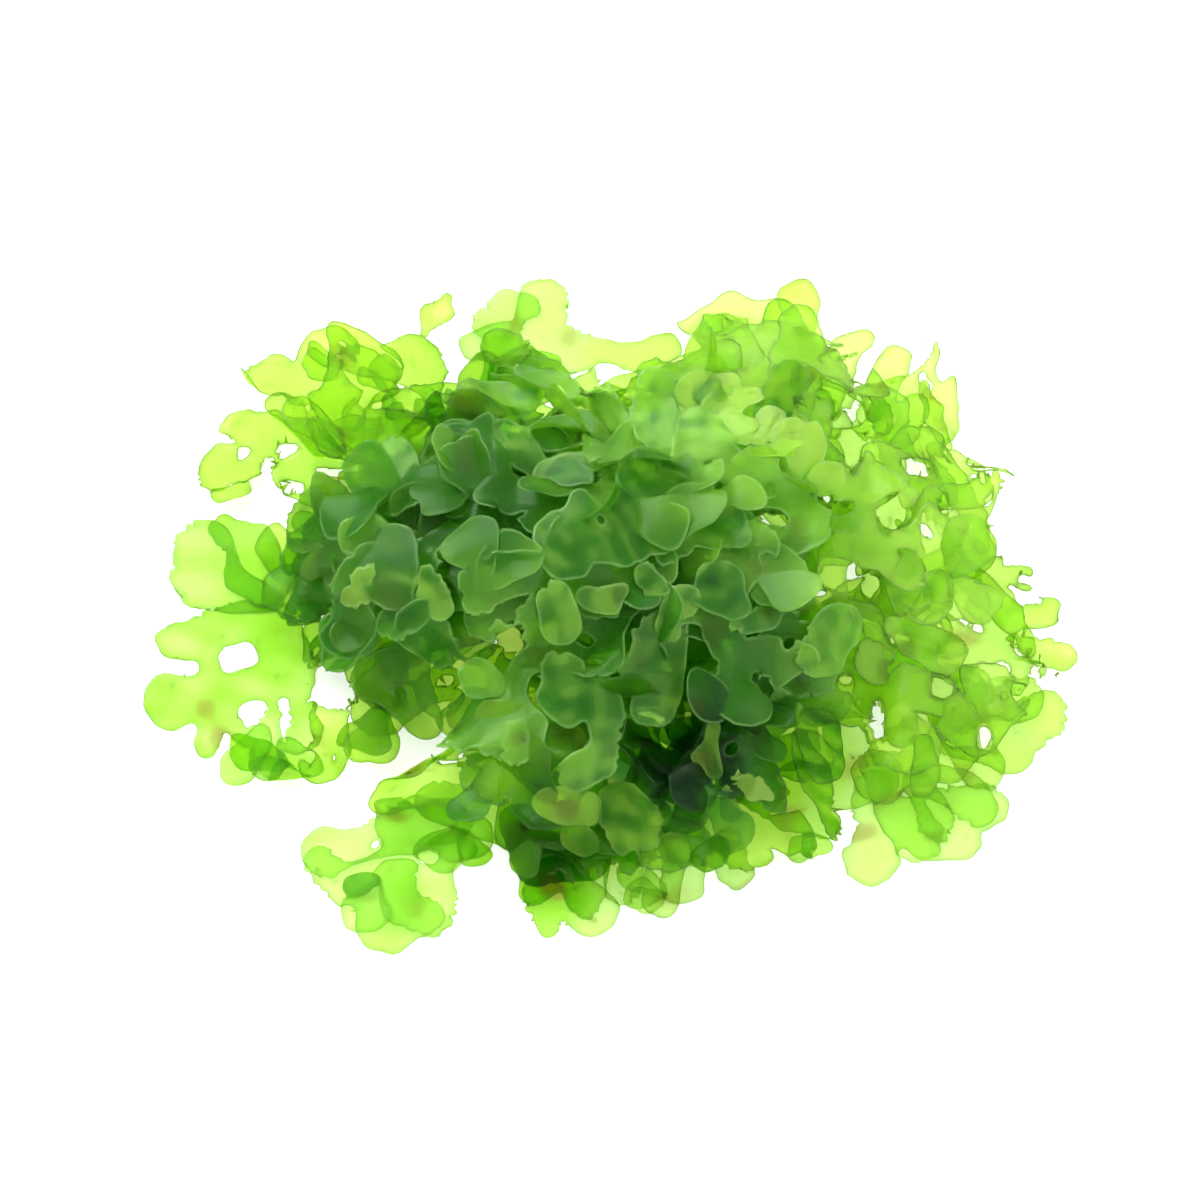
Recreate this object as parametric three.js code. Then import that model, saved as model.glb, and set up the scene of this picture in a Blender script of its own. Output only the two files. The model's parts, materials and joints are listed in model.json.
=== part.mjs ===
// Round pellia (Lomariopsis lineata): a loose clump of fern thalli, heaped on a flat surface.
// Each thallus is one thin green ribbon that forks into round lobes. It is thickest along
// its middle and thins out to nothing at its margin. The thalli are tangled, not joined.
// Millimetres, +Z up, +Y away from the viewer, origin on the resting surface, in the
// middle of the clump's footprint.

import * as THREE from "three";

// Driving dimensions
const RIBBON_HALF_WIDTH = 1.75;
const LOBE_RADIUS = 3;
const SHEET_THICKNESS = 0.6;
const JOINT_LENGTH = 4.8; // from one fork of a ribbon to the next
const FORK_BLEND = 0.8; // fillet where two limbs meet
const FACET = 3.1; // side of the triangles that a sheet is made of
const SHEET_CLEARANCE = 1.45; // least distance between the middles of two sheets

// How a ribbon branches: lengths in mm, angles in radians, each from the first to the second
const GROWTH = {
  sideLimb: [5, 7.6],
  sideTurn: [0.9, 1.4],
  forkShare: 0.4, // how many side limbs end in two lobes
  forkTurn: [0.5, 0.8],
  tipFork: [6, 7.5],
  wander: 0.35, // how far the main ribbon turns at a joint
  lobeSize: [0.8, 1.15],
};

// How a thallus curls by itself: radii and lengths in mm, angles in degrees
const CURL = {
  alongRadius: 21,
  acrossRadius: 13,
  waves: 3,
  waveLength: [11, 20],
  waveHeight: [0.7, 1.5],
  pitch: [-8, 16],
  roll: [-30, 30],
};

// How a thallus settles: one step is a small fixed time
const SETTLE = {
  steps: 150,
  restSteps: 25, // the last ones, with no weight
  relaxations: 5,
  fall: 0.025, // speed gained in a step
  fastest: 0.5, // longest move in a step
  damping: 0.92,
  sideDamping: 0.55,
  grip: 0.6, // of the surface
  bendStiffness: 0.3,
  ownClearance: 3.6, // parts of one sheet farther apart than this keep clear of each other
  groundGap: 0.12, // a sheet this near to the surface lies on it
};

// Thalli that lie flat and wet on the surface round the clump's edge. Each limb is a run
// of stations along its middle: x, y and the ribbon's half width there.
const FLAT_THALLI = [
  {
    name: "thallus_left_spreading",
    facet: 1.9,
    limbs: [
      [[-27, -3.4, 2.4], [-31.5, -2.8, 3.4], [-36, -1.4, 2.3], [-40, -1.9, 2.1], [-43.2, -3.4, 2.9]],
      [[-40.4, -3.6, 1.2], [-40.3, -9, 1.2]],
      [[-31, -6.5, 3.4], [-36, -10, 1.9], [-40, -10.8, 2.3], [-43.4, -11.6, 3.6]],
      [[-41.2, -13, 1.4], [-40.8, -16.8, 1.7]],
      [[-38.6, -12, 1.7], [-36.8, -16, 1.6], [-36.9, -20, 2.6]],
      [[-33.4, -8, 1.6], [-33.9, -13, 1.2], [-34.6, -19.6, 2.3]],
      [[-30, -7, 2.4], [-30.2, -12, 2.0], [-30.6, -16.5, 2.0], [-30.2, -19.4, 1.6]],
    ],
  },
  {
    name: "thallus_front_tongue",
    facet: 2.3,
    limbs: [
      [[-13.5, -25.5, 2.8], [-18, -27.5, 3.6], [-22, -29, 2.8], [-25.5, -30.6, 2.2], [-28.4, -31.5, 3.3]],
      [[-17, -28, 2.6], [-15.4, -32.5, 1.6], [-17.2, -38.4, 3.4]],
      [[-22, -30, 2.3], [-23.2, -34.5, 2.6], [-22.4, -38.9, 3.5]],
      [[-23.2, -36, 2], [-17.6, -38.6, 3.2]],
    ],
  },
  {
    name: "thallus_front_left_of_middle",
    facet: 2.4,
    limbs: [
      [[-5, -21, 1.5], [-5.6, -29, 1.7], [-6.6, -37.8, 2.7]],
      [[-5.8, -30, 1.6], [-3.4, -33, 1.6], [-0.8, -36, 2.6]],
      [[-5.4, -27.5, 1.6], [-10.4, -32.6, 2.4]],
    ],
  },
  {
    name: "thallus_front_right_of_middle",
    facet: 2.4,
    limbs: [
      [[6, -19, 1.5], [6.6, -28, 1.7], [6, -35.8, 3]],
      [[6.6, -26, 1.7], [10.8, -29.4, 1.7], [13.4, -33.4, 2.7]],
      [[9.4, -28, 1.6], [15.6, -26.6, 2.5]],
    ],
  },
  {
    name: "thallus_front_right",
    facet: 2.4,
    limbs: [
      [[16, -13.5, 1.5], [20, -20.5, 2], [23, -26, 1.9], [25.2, -31.2, 3.4]],
      [[21, -21.6, 1.9], [27, -25, 1.8], [30.8, -30, 2.7]],
      [[27, -24.6, 1.8], [32, -25.6, 1.7], [35.8, -28.2, 2.6]],
      [[31, -24, 1.7], [38, -22.6, 2.8]],
      [[22.5, -21.6, 1.6], [28.6, -18.6, 2.4]],
    ],
  },
  {
    name: "thallus_right_pale",
    facet: 2.4,
    limbs: [
      [[24, -6.6, 1.5], [31, -10, 1.9], [37.6, -11.4, 1.9], [43.6, -11.4, 3.1]],
      [[37.6, -12, 1.8], [42.6, -17.4, 2.8]],
      [[35, -11.6, 1.7], [36.6, -17, 2.4]],
      [[29, -9, 1.6], [31, -14.4, 2.4]],
    ],
  },
];

// Thalli that fell on those, lowest first. tip is where the main ribbon ends, heading is
// the way it grows, in degrees from +X, and reach is the length of its main ribbon.
const FALLEN_THALLI = [
  { name: "thallus_left_pale", limbs: [
    [[-22, 1, 1.6], [-29, 3.6, 2.2], [-34, 5, 2.6], [-38.8, 6, 4.3]],
    [[-28, 3.4, 1.7], [-28.6, -2.4, 2.4]],
    [[-32, 5, 1.8], [-35.6, 11.8, 2.7]],
  ], curl: 0.5 },
  { name: "thallus_front_tongue_upper", limbs: [
    [[-11, -20.5, 1.6], [-17, -25, 1.9], [-21.2, -30.8, 2], [-21.8, -35.6, 1.9], [-19.6, -38.6, 2.6]],
    [[-16, -24.4, 1.8], [-22.5, -23.4, 2.5]],
  ], curl: 0.5 },
  { name: "thallus_edge_01", tip: [42, -2], heading: -8, reach: 22, seed: 101, curl: 1.5, roll: 40 },
  { name: "thallus_edge_02", tip: [37, -20], heading: -30, reach: 25, seed: 102 },
  { name: "thallus_edge_03", tip: [18, -25], heading: -60, reach: 22, seed: 103 },
  { name: "thallus_edge_04", tip: [1, -31], heading: -88, reach: 23, seed: 104 },
  { name: "thallus_edge_05", tip: [-23, -20], heading: -140, reach: 22, seed: 105 },
  { name: "thallus_edge_06", tip: [-30, -11], heading: -165, reach: 18, seed: 106 },
  { name: "thallus_edge_07", tip: [-38, 14], heading: 160, reach: 22, seed: 107 },
  { name: "thallus_edge_08", tip: [-34, 26], heading: 142, reach: 23, seed: 108, curl: 1.6, roll: 40 },
  { name: "thallus_edge_09", tip: [-20, 30], heading: 120, reach: 23, seed: 109 },
  { name: "thallus_back_pale", limbs: [
    [[1, 13, 1.5], [-1.5, 21, 1.7], [-4.5, 28, 1.7], [-6.6, 34.4, 3.3]],
    [[-3, 25, 1.6], [-9, 29, 1.6], [-12.4, 31.6, 2.5]],
    [[-1.6, 22, 1.6], [4.4, 26.6, 2.4]],
  ], curl: 0.5 },
  { name: "thallus_edge_11", tip: [9, 32], heading: 80, reach: 22, seed: 111 },
  { name: "thallus_edge_12", tip: [19, 34], heading: 62, reach: 24, seed: 112 },
  { name: "thallus_edge_13", tip: [29, 31], heading: 46, reach: 23, seed: 113, curl: 1.4 },
  { name: "thallus_edge_14", tip: [36, 22], heading: 28, reach: 24, seed: 114, curl: 1.3, roll: -30 },
  { name: "thallus_edge_15", tip: [39, 10], heading: 10, reach: 24, seed: 115, curl: 1.6, roll: 45 },
  { name: "thallus_slope_01", tip: [33, 4], heading: 4, reach: 25, seed: 201, curl: 1.5 },
  { name: "thallus_slope_02", tip: [31, -12], heading: -24, reach: 25, seed: 202 },
  { name: "thallus_slope_03", tip: [20, -22], heading: -52, reach: 25, seed: 203 },
  { name: "thallus_slope_04", tip: [7, -28], heading: -80, reach: 25, seed: 204 },
  { name: "thallus_slope_05", tip: [-8, -27], heading: -106, reach: 25, seed: 205 },
  { name: "thallus_slope_06", tip: [-22, -12], heading: -150, reach: 24, seed: 206 },
  { name: "thallus_slope_07", tip: [-29, 3], heading: 176, reach: 24, seed: 207 },
  { name: "thallus_slope_08", tip: [-25, 15], heading: 150, reach: 24, seed: 208 },
  { name: "thallus_slope_09", tip: [-14, 23], heading: 120, reach: 24, seed: 209 },
  { name: "thallus_slope_10", tip: [2, 26], heading: 92, reach: 24, seed: 210 },
  { name: "thallus_slope_11", tip: [15, 25], heading: 66, reach: 24, seed: 211 },
  { name: "thallus_slope_12", tip: [26, 18], heading: 36, reach: 24, seed: 212 },
  { name: "thallus_shoulder_01", tip: [30, 2], heading: 0, reach: 24, seed: 301 },
  { name: "thallus_shoulder_02", tip: [24, -12], heading: -34, reach: 24, seed: 302 },
  { name: "thallus_shoulder_03", tip: [12, -23], heading: -66, reach: 24, seed: 303 },
  { name: "thallus_shoulder_04", tip: [-3, -27], heading: -96, reach: 24, seed: 304 },
  { name: "thallus_shoulder_05", tip: [-18, -17], heading: -134, reach: 24, seed: 305 },
  { name: "thallus_shoulder_06", tip: [-27, -3], heading: 184, reach: 24, seed: 306 },
  { name: "thallus_shoulder_07", tip: [-24, 10], heading: 152, reach: 24, seed: 307 },
  { name: "thallus_shoulder_08", tip: [-10, 20], heading: 112, reach: 24, seed: 308 },
  { name: "thallus_shoulder_09", tip: [7, 21], heading: 76, reach: 24, seed: 309 },
  { name: "thallus_shoulder_10", tip: [21, 15], heading: 36, reach: 24, seed: 310 },
  { name: "thallus_crown_01", tip: [21, -2], heading: -4, reach: 22, seed: 401 },
  { name: "thallus_crown_02", tip: [13, -16], heading: -54, reach: 22, seed: 402 },
  { name: "thallus_crown_03", tip: [-3, -21], heading: -98, reach: 22, seed: 403 },
  { name: "thallus_crown_04", tip: [-18, -8], heading: -152, reach: 22, seed: 404 },
  { name: "thallus_crown_05", tip: [-14, 7], heading: 150, reach: 22, seed: 405 },
  { name: "thallus_crown_06", tip: [3, 13], heading: 86, reach: 20, seed: 406 },
  { name: "thallus_top_01", tip: [-11, -7], heading: 200, reach: 18, seed: 501 },
  { name: "thallus_top_02", tip: [12, 3], heading: 20, reach: 18, seed: 502 },
];

const radians = (degrees) => (degrees * Math.PI) / 180;

// A repeatable stream of numbers from 0 to 1.
function seededRandom(seed) {
  let state = seed >>> 0;
  return () => {
    state = (state + 0x6d2b79f5) >>> 0;
    let t = Math.imul(state ^ (state >>> 15), state | 1);
    t ^= t + Math.imul(t ^ (t >>> 7), t | 61);
    return ((t ^ (t >>> 14)) >>> 0) / 4294967296;
  };
}

// The pieces of a limb between its stations: round ended, and tapering evenly.
function limbPieces(stations) {
  return stations.slice(1).map((to, index) => {
    const from = stations[index];
    return { from, to, startRadius: from[2], endRadius: to[2] };
  });
}

// The limb pieces of one thallus. The main ribbon turns a little at each joint and puts
// out a side limb there, left and right by turns. Every limb ends in a round lobe, and
// the main ribbon in two.
function growLimbs(thallus) {
  if (thallus.limbs) return thallus.limbs.flatMap(limbPieces);
  const random = seededRandom(thallus.seed);
  const between = ([low, high]) => low + (high - low) * random();
  const width = RIBBON_HALF_WIDTH;
  const limbs = [];

  const addLimb = (from, heading, length, startRadius, endRadius) => {
    const to = [from[0] + length * Math.cos(heading), from[1] + length * Math.sin(heading)];
    limbs.push({ from, to, startRadius, endRadius });
    return to;
  };
  const addLobe = (from, heading, length) => {
    const centre = addLimb(from, heading, length, width * 0.8, width * 0.95);
    const radius = LOBE_RADIUS * between(GROWTH.lobeSize);
    addLimb(centre, heading + between([-1, 1]), radius * 0.4, radius, radius * 0.9);
    return centre;
  };
  const addFork = (from, heading, length) => {
    const crotch = addLimb(from, heading, length * 0.45, width * 0.8, width * 0.9);
    const spread = between(GROWTH.forkTurn);
    addLobe(crotch, heading + spread, length * 0.62);
    addLobe(crotch, heading - spread, length * 0.62);
  };

  const joints = Math.max(2, Math.round((thallus.reach - LOBE_RADIUS) / JOINT_LENGTH));
  let heading = radians(thallus.heading);
  let point = [0, 1].map((axis) => {
    const direction = axis === 0 ? Math.cos(heading) : Math.sin(heading);
    return thallus.tip[axis] - thallus.reach * direction;
  });
  let side = random() < 0.5 ? 1 : -1;
  for (let joint = 0; joint < joints; joint += 1) {
    const startRadius = joint === 0 ? width * 0.6 : width;
    point = addLimb(point, heading, JOINT_LENGTH, startRadius, width);
    if (joint === joints - 1) break;
    const turn = side * between(GROWTH.sideTurn);
    const length = between(GROWTH.sideLimb);
    if (random() < GROWTH.forkShare) addFork(point, heading + turn, length + LOBE_RADIUS / 2);
    else addLobe(point, heading + turn, length);
    heading += between([-GROWTH.wander, GROWTH.wander]);
    side = -side;
  }
  addFork(point, heading, between(GROWTH.tipFork));
  return limbs;
}

// How far a point is outside a thallus's outline, or inside it where negative: the least
// distance to its limbs, rounded off where limbs meet.
function outsideBy(limbs, x, y) {
  let sum = 0;
  const sharpness = 3 / FORK_BLEND;
  for (const { from, to, startRadius, endRadius } of limbs) {
    const dx = to[0] - from[0];
    const dy = to[1] - from[1];
    const along = ((x - from[0]) * dx + (y - from[1]) * dy) / (dx * dx + dy * dy);
    const share = Math.min(1, Math.max(0, along));
    const gap = Math.hypot(x - from[0] - share * dx, y - from[1] - share * dy);
    const distance = gap - startRadius - (endRadius - startRadius) * share;
    sum += Math.exp(-sharpness * Math.min(distance, 12));
  }
  return -Math.log(sum) / sharpness;
}

// Moves a point along the outline's slope until it is on the outline.
function ontoOutline(limbs, point) {
  const step = 1e-3;
  let [x, y] = point;
  for (let pass = 0; pass < 4; pass += 1) {
    const value = outsideBy(limbs, x, y);
    const slopeX = (outsideBy(limbs, x + step, y) - value) / step;
    const slopeY = (outsideBy(limbs, x, y + step) - value) / step;
    const steepness = Math.max(0.2, slopeX * slopeX + slopeY * slopeY);
    x -= (value * slopeX) / steepness;
    y -= (value * slopeY) / steepness;
  }
  return [x, y];
}

// A triangular grid over the limbs' box, with grid points near the outline pulled onto it.
function snappedGrid(limbs, facet) {
  const reach = LOBE_RADIUS * 2;
  const xs = limbs.flatMap(({ from, to }) => [from[0], to[0]]);
  const ys = limbs.flatMap(({ from, to }) => [from[1], to[1]]);
  const left = Math.min(...xs) - reach;
  const low = Math.min(...ys) - reach;
  const rowHeight = (facet * Math.sqrt(3)) / 2;
  const columns = Math.ceil((Math.max(...xs) + reach - left) / facet) + 1;
  const rows = Math.ceil((Math.max(...ys) + reach - low) / rowHeight) + 1;
  const points = [];
  const values = [];
  for (let row = 0; row < rows; row += 1) {
    for (let column = 0; column < columns; column += 1) {
      const x = left + (column + (row % 2) / 2) * facet;
      const y = low + row * rowHeight;
      const value = outsideBy(limbs, x, y);
      const near = Math.abs(value) < facet * 0.36;
      points.push(near ? ontoOutline(limbs, [x, y]) : [x, y]);
      values.push(near ? 0 : value);
    }
  }
  const triangles = [];
  for (let row = 0; row + 1 < rows; row += 1) {
    for (let column = 0; column + 1 < columns; column += 1) {
      const a = row * columns + column;
      const b = a + columns;
      if (row % 2) triangles.push([a, a + 1, b + 1], [a, b + 1, b]);
      else triangles.push([a, a + 1, b], [a + 1, b + 1, b]);
    }
  }
  return { points, values, triangles };
}

// Cuts the grid along the outline and keeps what is inside.
function cutToOutline(limbs, facet, { points, values, triangles }) {
  const cuts = new Map();
  const cutBetween = (inside, outside) => {
    const key = `${inside}/${outside}`;
    if (!cuts.has(key)) {
      const share = values[inside] / (values[inside] - values[outside]);
      const [ax, ay] = points[inside];
      const [bx, by] = points[outside];
      points.push(ontoOutline(limbs, [ax + (bx - ax) * share, ay + (by - ay) * share]));
      values.push(0);
      cuts.set(key, points.length - 1);
    }
    return cuts.get(key);
  };
  const kept = [];
  for (const corners of triangles) {
    const outside = corners.filter((corner) => values[corner] > 0);
    const inside = corners.filter((corner) => values[corner] < 0);
    if (inside.length === 0) {
      const [x, y] = [0, 1].map((axis) => corners.reduce((sum, c) => sum + points[c][axis], 0) / 3);
      if (outside.length === 0 && outsideBy(limbs, x, y) < -0.12 * facet) kept.push(corners);
      continue;
    }
    if (outside.length === 0) {
      kept.push(corners);
      continue;
    }
    // Walk round the triangle, putting a cut where it leaves the outline or comes back.
    const loop = [];
    corners.forEach((corner, i) => {
      const next = corners[(i + 1) % 3];
      if (values[corner] <= 0) loop.push(corner);
      if (values[corner] < 0 && values[next] > 0) loop.push(cutBetween(corner, next));
      if (values[corner] > 0 && values[next] < 0) loop.push(cutBetween(next, corner));
    });
    for (let i = 1; i + 1 < loop.length; i += 1) kept.push([loop[0], loop[i], loop[i + 1]]);
  }
  return { points, triangles: kept };
}

// The triangles on each edge, keyed by its two corners, lower number first.
function edgesOf(triangles) {
  const edges = new Map();
  triangles.forEach((corners, index) => {
    for (let i = 0; i < 3; i += 1) {
      const a = corners[i];
      const b = corners[(i + 1) % 3];
      const key = a < b ? `${a}/${b}` : `${b}/${a}`;
      if (!edges.has(key)) edges.set(key, { a: Math.min(a, b), b: Math.max(a, b), faces: [] });
      edges.get(key).faces.push(index);
    }
  });
  return edges;
}

// The largest set of triangles that hang together by whole edges.
function largestPiece(triangles) {
  const owner = triangles.map((_, index) => index);
  const find = (index) => (owner[index] === index ? index : (owner[index] = find(owner[index])));
  for (const { faces } of edgesOf(triangles).values()) {
    if (faces.length === 2) owner[find(faces[0])] = find(faces[1]);
  }
  const sizes = new Map();
  triangles.forEach((_, index) => sizes.set(find(index), (sizes.get(find(index)) ?? 0) + 1));
  const [largest] = [...sizes].sort((one, other) => other[1] - one[1])[0];
  return triangles.filter((_, index) => find(index) === largest);
}

// Takes away triangles where two parts of the sheet touch only at a corner.
function withoutPinches(triangles) {
  for (;;) {
    const rimCount = new Map();
    for (const { a, b, faces } of edgesOf(triangles).values()) {
      if (faces.length > 1) continue;
      for (const corner of [a, b]) rimCount.set(corner, (rimCount.get(corner) ?? 0) + 1);
    }
    const pinch = [...rimCount].find(([, count]) => count > 2);
    if (!pinch) return triangles;
    const around = triangles.filter((corners) => corners.includes(pinch[0]));
    const smallest = fansAt(pinch[0], around).sort((one, other) => one.length - other.length)[0];
    triangles = largestPiece(triangles.filter((corners) => !smallest.includes(corners)));
  }
}

// The triangles round one corner, in groups that share edges.
function fansAt(corner, around) {
  const left = new Set(around);
  const fans = [];
  while (left.size) {
    const fan = [[...left][0]];
    left.delete(fan[0]);
    for (let i = 0; i < fan.length; i += 1) {
      for (const other of [...left]) {
        const shared = other.filter((c) => c !== corner && fan[i].includes(c));
        if (shared.length) {
          fan.push(other);
          left.delete(other);
        }
      }
    }
    fans.push(fan);
  }
  return fans;
}

function rimCornersOf(triangles) {
  const rim = new Set();
  for (const { a, b, faces } of edgesOf(triangles).values()) {
    if (faces.length === 1) rim.add(a).add(b);
  }
  return rim;
}

// Splits each inner edge that joins two margin points, so that the sheet can have some
// thickness all the way along its middle.
function splitChords(points, triangles) {
  for (;;) {
    const rim = rimCornersOf(triangles);
    const chord = [...edgesOf(triangles).values()].find(
      ({ a, b, faces }) => faces.length === 2 && rim.has(a) && rim.has(b),
    );
    if (!chord) return triangles;
    const { a, b, faces } = chord;
    const middle = points.length;
    points.push([(points[a][0] + points[b][0]) / 2, (points[a][1] + points[b][1]) / 2]);
    triangles = triangles.flatMap((corners, index) =>
      faces.includes(index)
        ? [corners.map((c) => (c === a ? middle : c)), corners.map((c) => (c === b ? middle : c))]
        : [corners],
    );
  }
}

// Evens out the triangles: inner points move to the middle of their neighbours, and
// margin points slide along the outline.
function evenOut(limbs, points, triangles) {
  const rim = rimCornersOf(triangles);
  for (let pass = 0; pass < 5; pass += 1) {
    const sums = points.map(() => [0, 0, 0]);
    for (const { a, b, faces } of edgesOf(triangles).values()) {
      const along = faces.length === 1;
      for (const [one, other] of [[a, b], [b, a]]) {
        if (rim.has(one) && !along) continue;
        sums[one][0] += points[other][0];
        sums[one][1] += points[other][1];
        sums[one][2] += 1;
      }
    }
    sums.forEach(([x, y, count], index) => {
      if (!count) return;
      const middle = [x / count, y / count];
      const [oldX, oldY] = points[index];
      const moved = [(oldX + middle[0]) / 2, (oldY + middle[1]) / 2];
      points[index] = rim.has(index) ? ontoOutline(limbs, moved) : moved;
    });
  }
}

// One thallus as a flat sheet of triangles, with its unused points dropped.
function flatSheet(thallus) {
  const limbs = growLimbs(thallus);
  const facet = thallus.facet ?? FACET;
  const cut = cutToOutline(limbs, facet, snappedGrid(limbs, facet));
  let triangles = withoutPinches(largestPiece(cut.triangles));
  evenOut(limbs, cut.points, triangles);
  triangles = splitChords(cut.points, triangles);
  const used = [...new Set(triangles.flat())];
  const numbers = new Map(used.map((old, index) => [old, index]));
  return {
    points: used.map((old) => cut.points[old]),
    triangles: triangles.map((corners) => corners.map((c) => numbers.get(c))),
  };
}

// The sheet's own shape before it falls: curled along and across, with slow waves.
function curledShape(thallus, flat) {
  const random = seededRandom((thallus.seed ?? 1) + 7000);
  const between = ([low, high]) => low + (high - low) * random();
  const curl = thallus.curl ?? 1;
  const alongCurl = (curl * between([-0.6, 1])) / (2 * CURL.alongRadius);
  const acrossCurl = (curl * between([-1, 1])) / (2 * CURL.acrossRadius);
  const waves = Array.from({ length: CURL.waves }, () => ({
    heading: between([0, Math.PI]),
    length: between(CURL.waveLength),
    height: curl * between(CURL.waveHeight),
    start: between([0, 2 * Math.PI]),
  }));
  const middle = middleOf(flat.points);
  const turn = radians(thallus.heading ?? 0);
  return flat.points.map(([x, y]) => {
    const along = (x - middle[0]) * Math.cos(turn) + (y - middle[1]) * Math.sin(turn);
    const across = (y - middle[1]) * Math.cos(turn) - (x - middle[0]) * Math.sin(turn);
    let z = alongCurl * along * along + acrossCurl * across * across;
    for (const { heading, length, height, start } of waves) {
      const phase = (2 * Math.PI * (x * Math.cos(heading) + y * Math.sin(heading))) / length;
      z += height * Math.sin(phase + start);
    }
    return new THREE.Vector3(x, y, z);
  });
}

function middleOf(points) {
  return [0, 1].map((axis) => points.reduce((sum, point) => sum + point[axis], 0) / points.length);
}

// How a thallus is held before it falls: pitched and rolled a little about its middle.
function startMatrix(thallus, middle) {
  const random = seededRandom((thallus.seed ?? 1) + 9000);
  const between = ([low, high]) => low + (high - low) * random();
  const pitch = thallus.pitch ?? between(CURL.pitch);
  const roll = thallus.roll ?? between(CURL.roll);
  const turn = radians(thallus.heading ?? 0);
  return new THREE.Matrix4()
    .makeTranslation(middle[0], middle[1], 0)
    .multiply(new THREE.Matrix4().makeRotationZ(turn))
    .multiply(new THREE.Matrix4().makeRotationY(radians(pitch)))
    .multiply(new THREE.Matrix4().makeRotationX(radians(roll)))
    .multiply(new THREE.Matrix4().makeRotationZ(-turn))
    .multiply(new THREE.Matrix4().makeTranslation(-middle[0], -middle[1], 0));
}

// Probe points all over a sheet: its corners, the middles of its edges and of its
// triangles. Two sheets are clear of each other when all their probes are.
function probesOf(triangles) {
  const edges = [...edgesOf(triangles).values()];
  const corners = [...new Set(triangles.flat())];
  return [...corners.map((c) => [c]), ...edges.map(({ a, b }) => [a, b]), ...triangles];
}

// Cells of one clearance each, over the space that the clump can fill. low is in mm, and
// across and upwards are numbers of cells.
const CELLS = { low: -75, across: 104, upwards: 44 };
function cellOf(x, y, z) {
  const column = Math.floor((x - CELLS.low) / SHEET_CLEARANCE);
  const row = Math.floor((y - CELLS.low) / SHEET_CLEARANCE);
  const layer = Math.floor(z / SHEET_CLEARANCE) + 1;
  return [column, row, Math.min(CELLS.upwards - 1, Math.max(0, layer))];
}

class ProbeCells {
  constructor() {
    this.lists = new Map();
    this.heights = new Map();
  }

  add(probe) {
    const [column, row, layer] = cellOf(probe.x, probe.y, probe.z);
    const key = (layer * CELLS.across + row) * CELLS.across + column;
    const list = this.lists.get(key);
    if (list) list.push(probe);
    else this.lists.set(key, [probe]);
    const place = row * CELLS.across + column;
    this.heights.set(place, Math.max(probe.z, this.heights.get(place) ?? 0));
  }

  // The height of the highest probe near a place, or of the surface if there is none.
  heightNear(x, y) {
    const [column, row] = cellOf(x, y, 0);
    let highest = SHEET_THICKNESS / 2 - SHEET_CLEARANCE;
    for (let back = row - 1; back <= row + 1; back += 1) {
      for (let right = column - 1; right <= column + 1; right += 1) {
        highest = Math.max(highest, this.heights.get(back * CELLS.across + right) ?? highest);
      }
    }
    return highest;
  }

  // Calls visit for each probe in the cells round a place.
  near(x, y, z, visit) {
    const [column, row, layer] = cellOf(x, y, z);
    for (let up = layer - 1; up <= layer + 1; up += 1) {
      for (let back = row - 1; back <= row + 1; back += 1) {
        for (let right = column - 1; right <= column + 1; right += 1) {
          const list = this.lists.get((up * CELLS.across + back) * CELLS.across + right);
          if (list) for (const probe of list) visit(probe);
        }
      }
    }
  }
}

// A thallus ready to fall: its points, the lengths that its edges keep, and its probes.
function limpSheet(thallus) {
  const flat = flatSheet(thallus);
  const shape = curledShape(thallus, flat);
  const edges = [...edgesOf(flat.triangles).values()];
  const links = edges.map(({ a, b }) => ({ a, b, length: shape[a].distanceTo(shape[b]), grip: 1 }));
  for (const { a, b, faces } of edges) {
    if (faces.length < 2) continue;
    const [one, other] = faces.map((f) => flat.triangles[f].find((c) => c !== a && c !== b));
    const length = shape[one].distanceTo(shape[other]);
    links.push({ a: one, b: other, length, grip: SETTLE.bendStiffness });
  }
  const start = startMatrix(thallus, middleOf(flat.points));
  const points = shape.map((point) => point.applyMatrix4(start));
  const probes = probesOf(flat.triangles).map((corners) => {
    const [u, v] = middleOf(corners.map((corner) => flat.points[corner]));
    return { corners, u, v, x: 0, y: 0, z: 0 };
  });
  const sheet = { thallus, flat, links, points, probes };
  placeProbes(sheet);
  return sheet;
}

function placeProbes({ points, probes }) {
  for (const probe of probes) {
    const share = 1 / probe.corners.length;
    probe.x = 0;
    probe.y = 0;
    probe.z = 0;
    for (const corner of probe.corners) {
      probe.x += points[corner].x * share;
      probe.y += points[corner].y * share;
      probe.z += points[corner].z * share;
    }
  }
}

// Keeps every edge at its length, and the sheet's bend near its own shape.
function holdShape({ links, points }) {
  for (const { a, b, length, grip } of links) {
    const one = points[a];
    const other = points[b];
    const dx = other.x - one.x;
    const dy = other.y - one.y;
    const dz = other.z - one.z;
    const now = Math.sqrt(dx * dx + dy * dy + dz * dz) || 1e-9;
    const push = (0.5 * grip * (now - length)) / now;
    one.x += dx * push;
    one.y += dy * push;
    one.z += dz * push;
    other.x -= dx * push;
    other.y -= dy * push;
    other.z -= dz * push;
  }
}

function shift(points, probe, x, y, z) {
  for (const corner of probe.corners) {
    const point = points[corner];
    point.x += x;
    point.y += y;
    point.z += z;
  }
}

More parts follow.
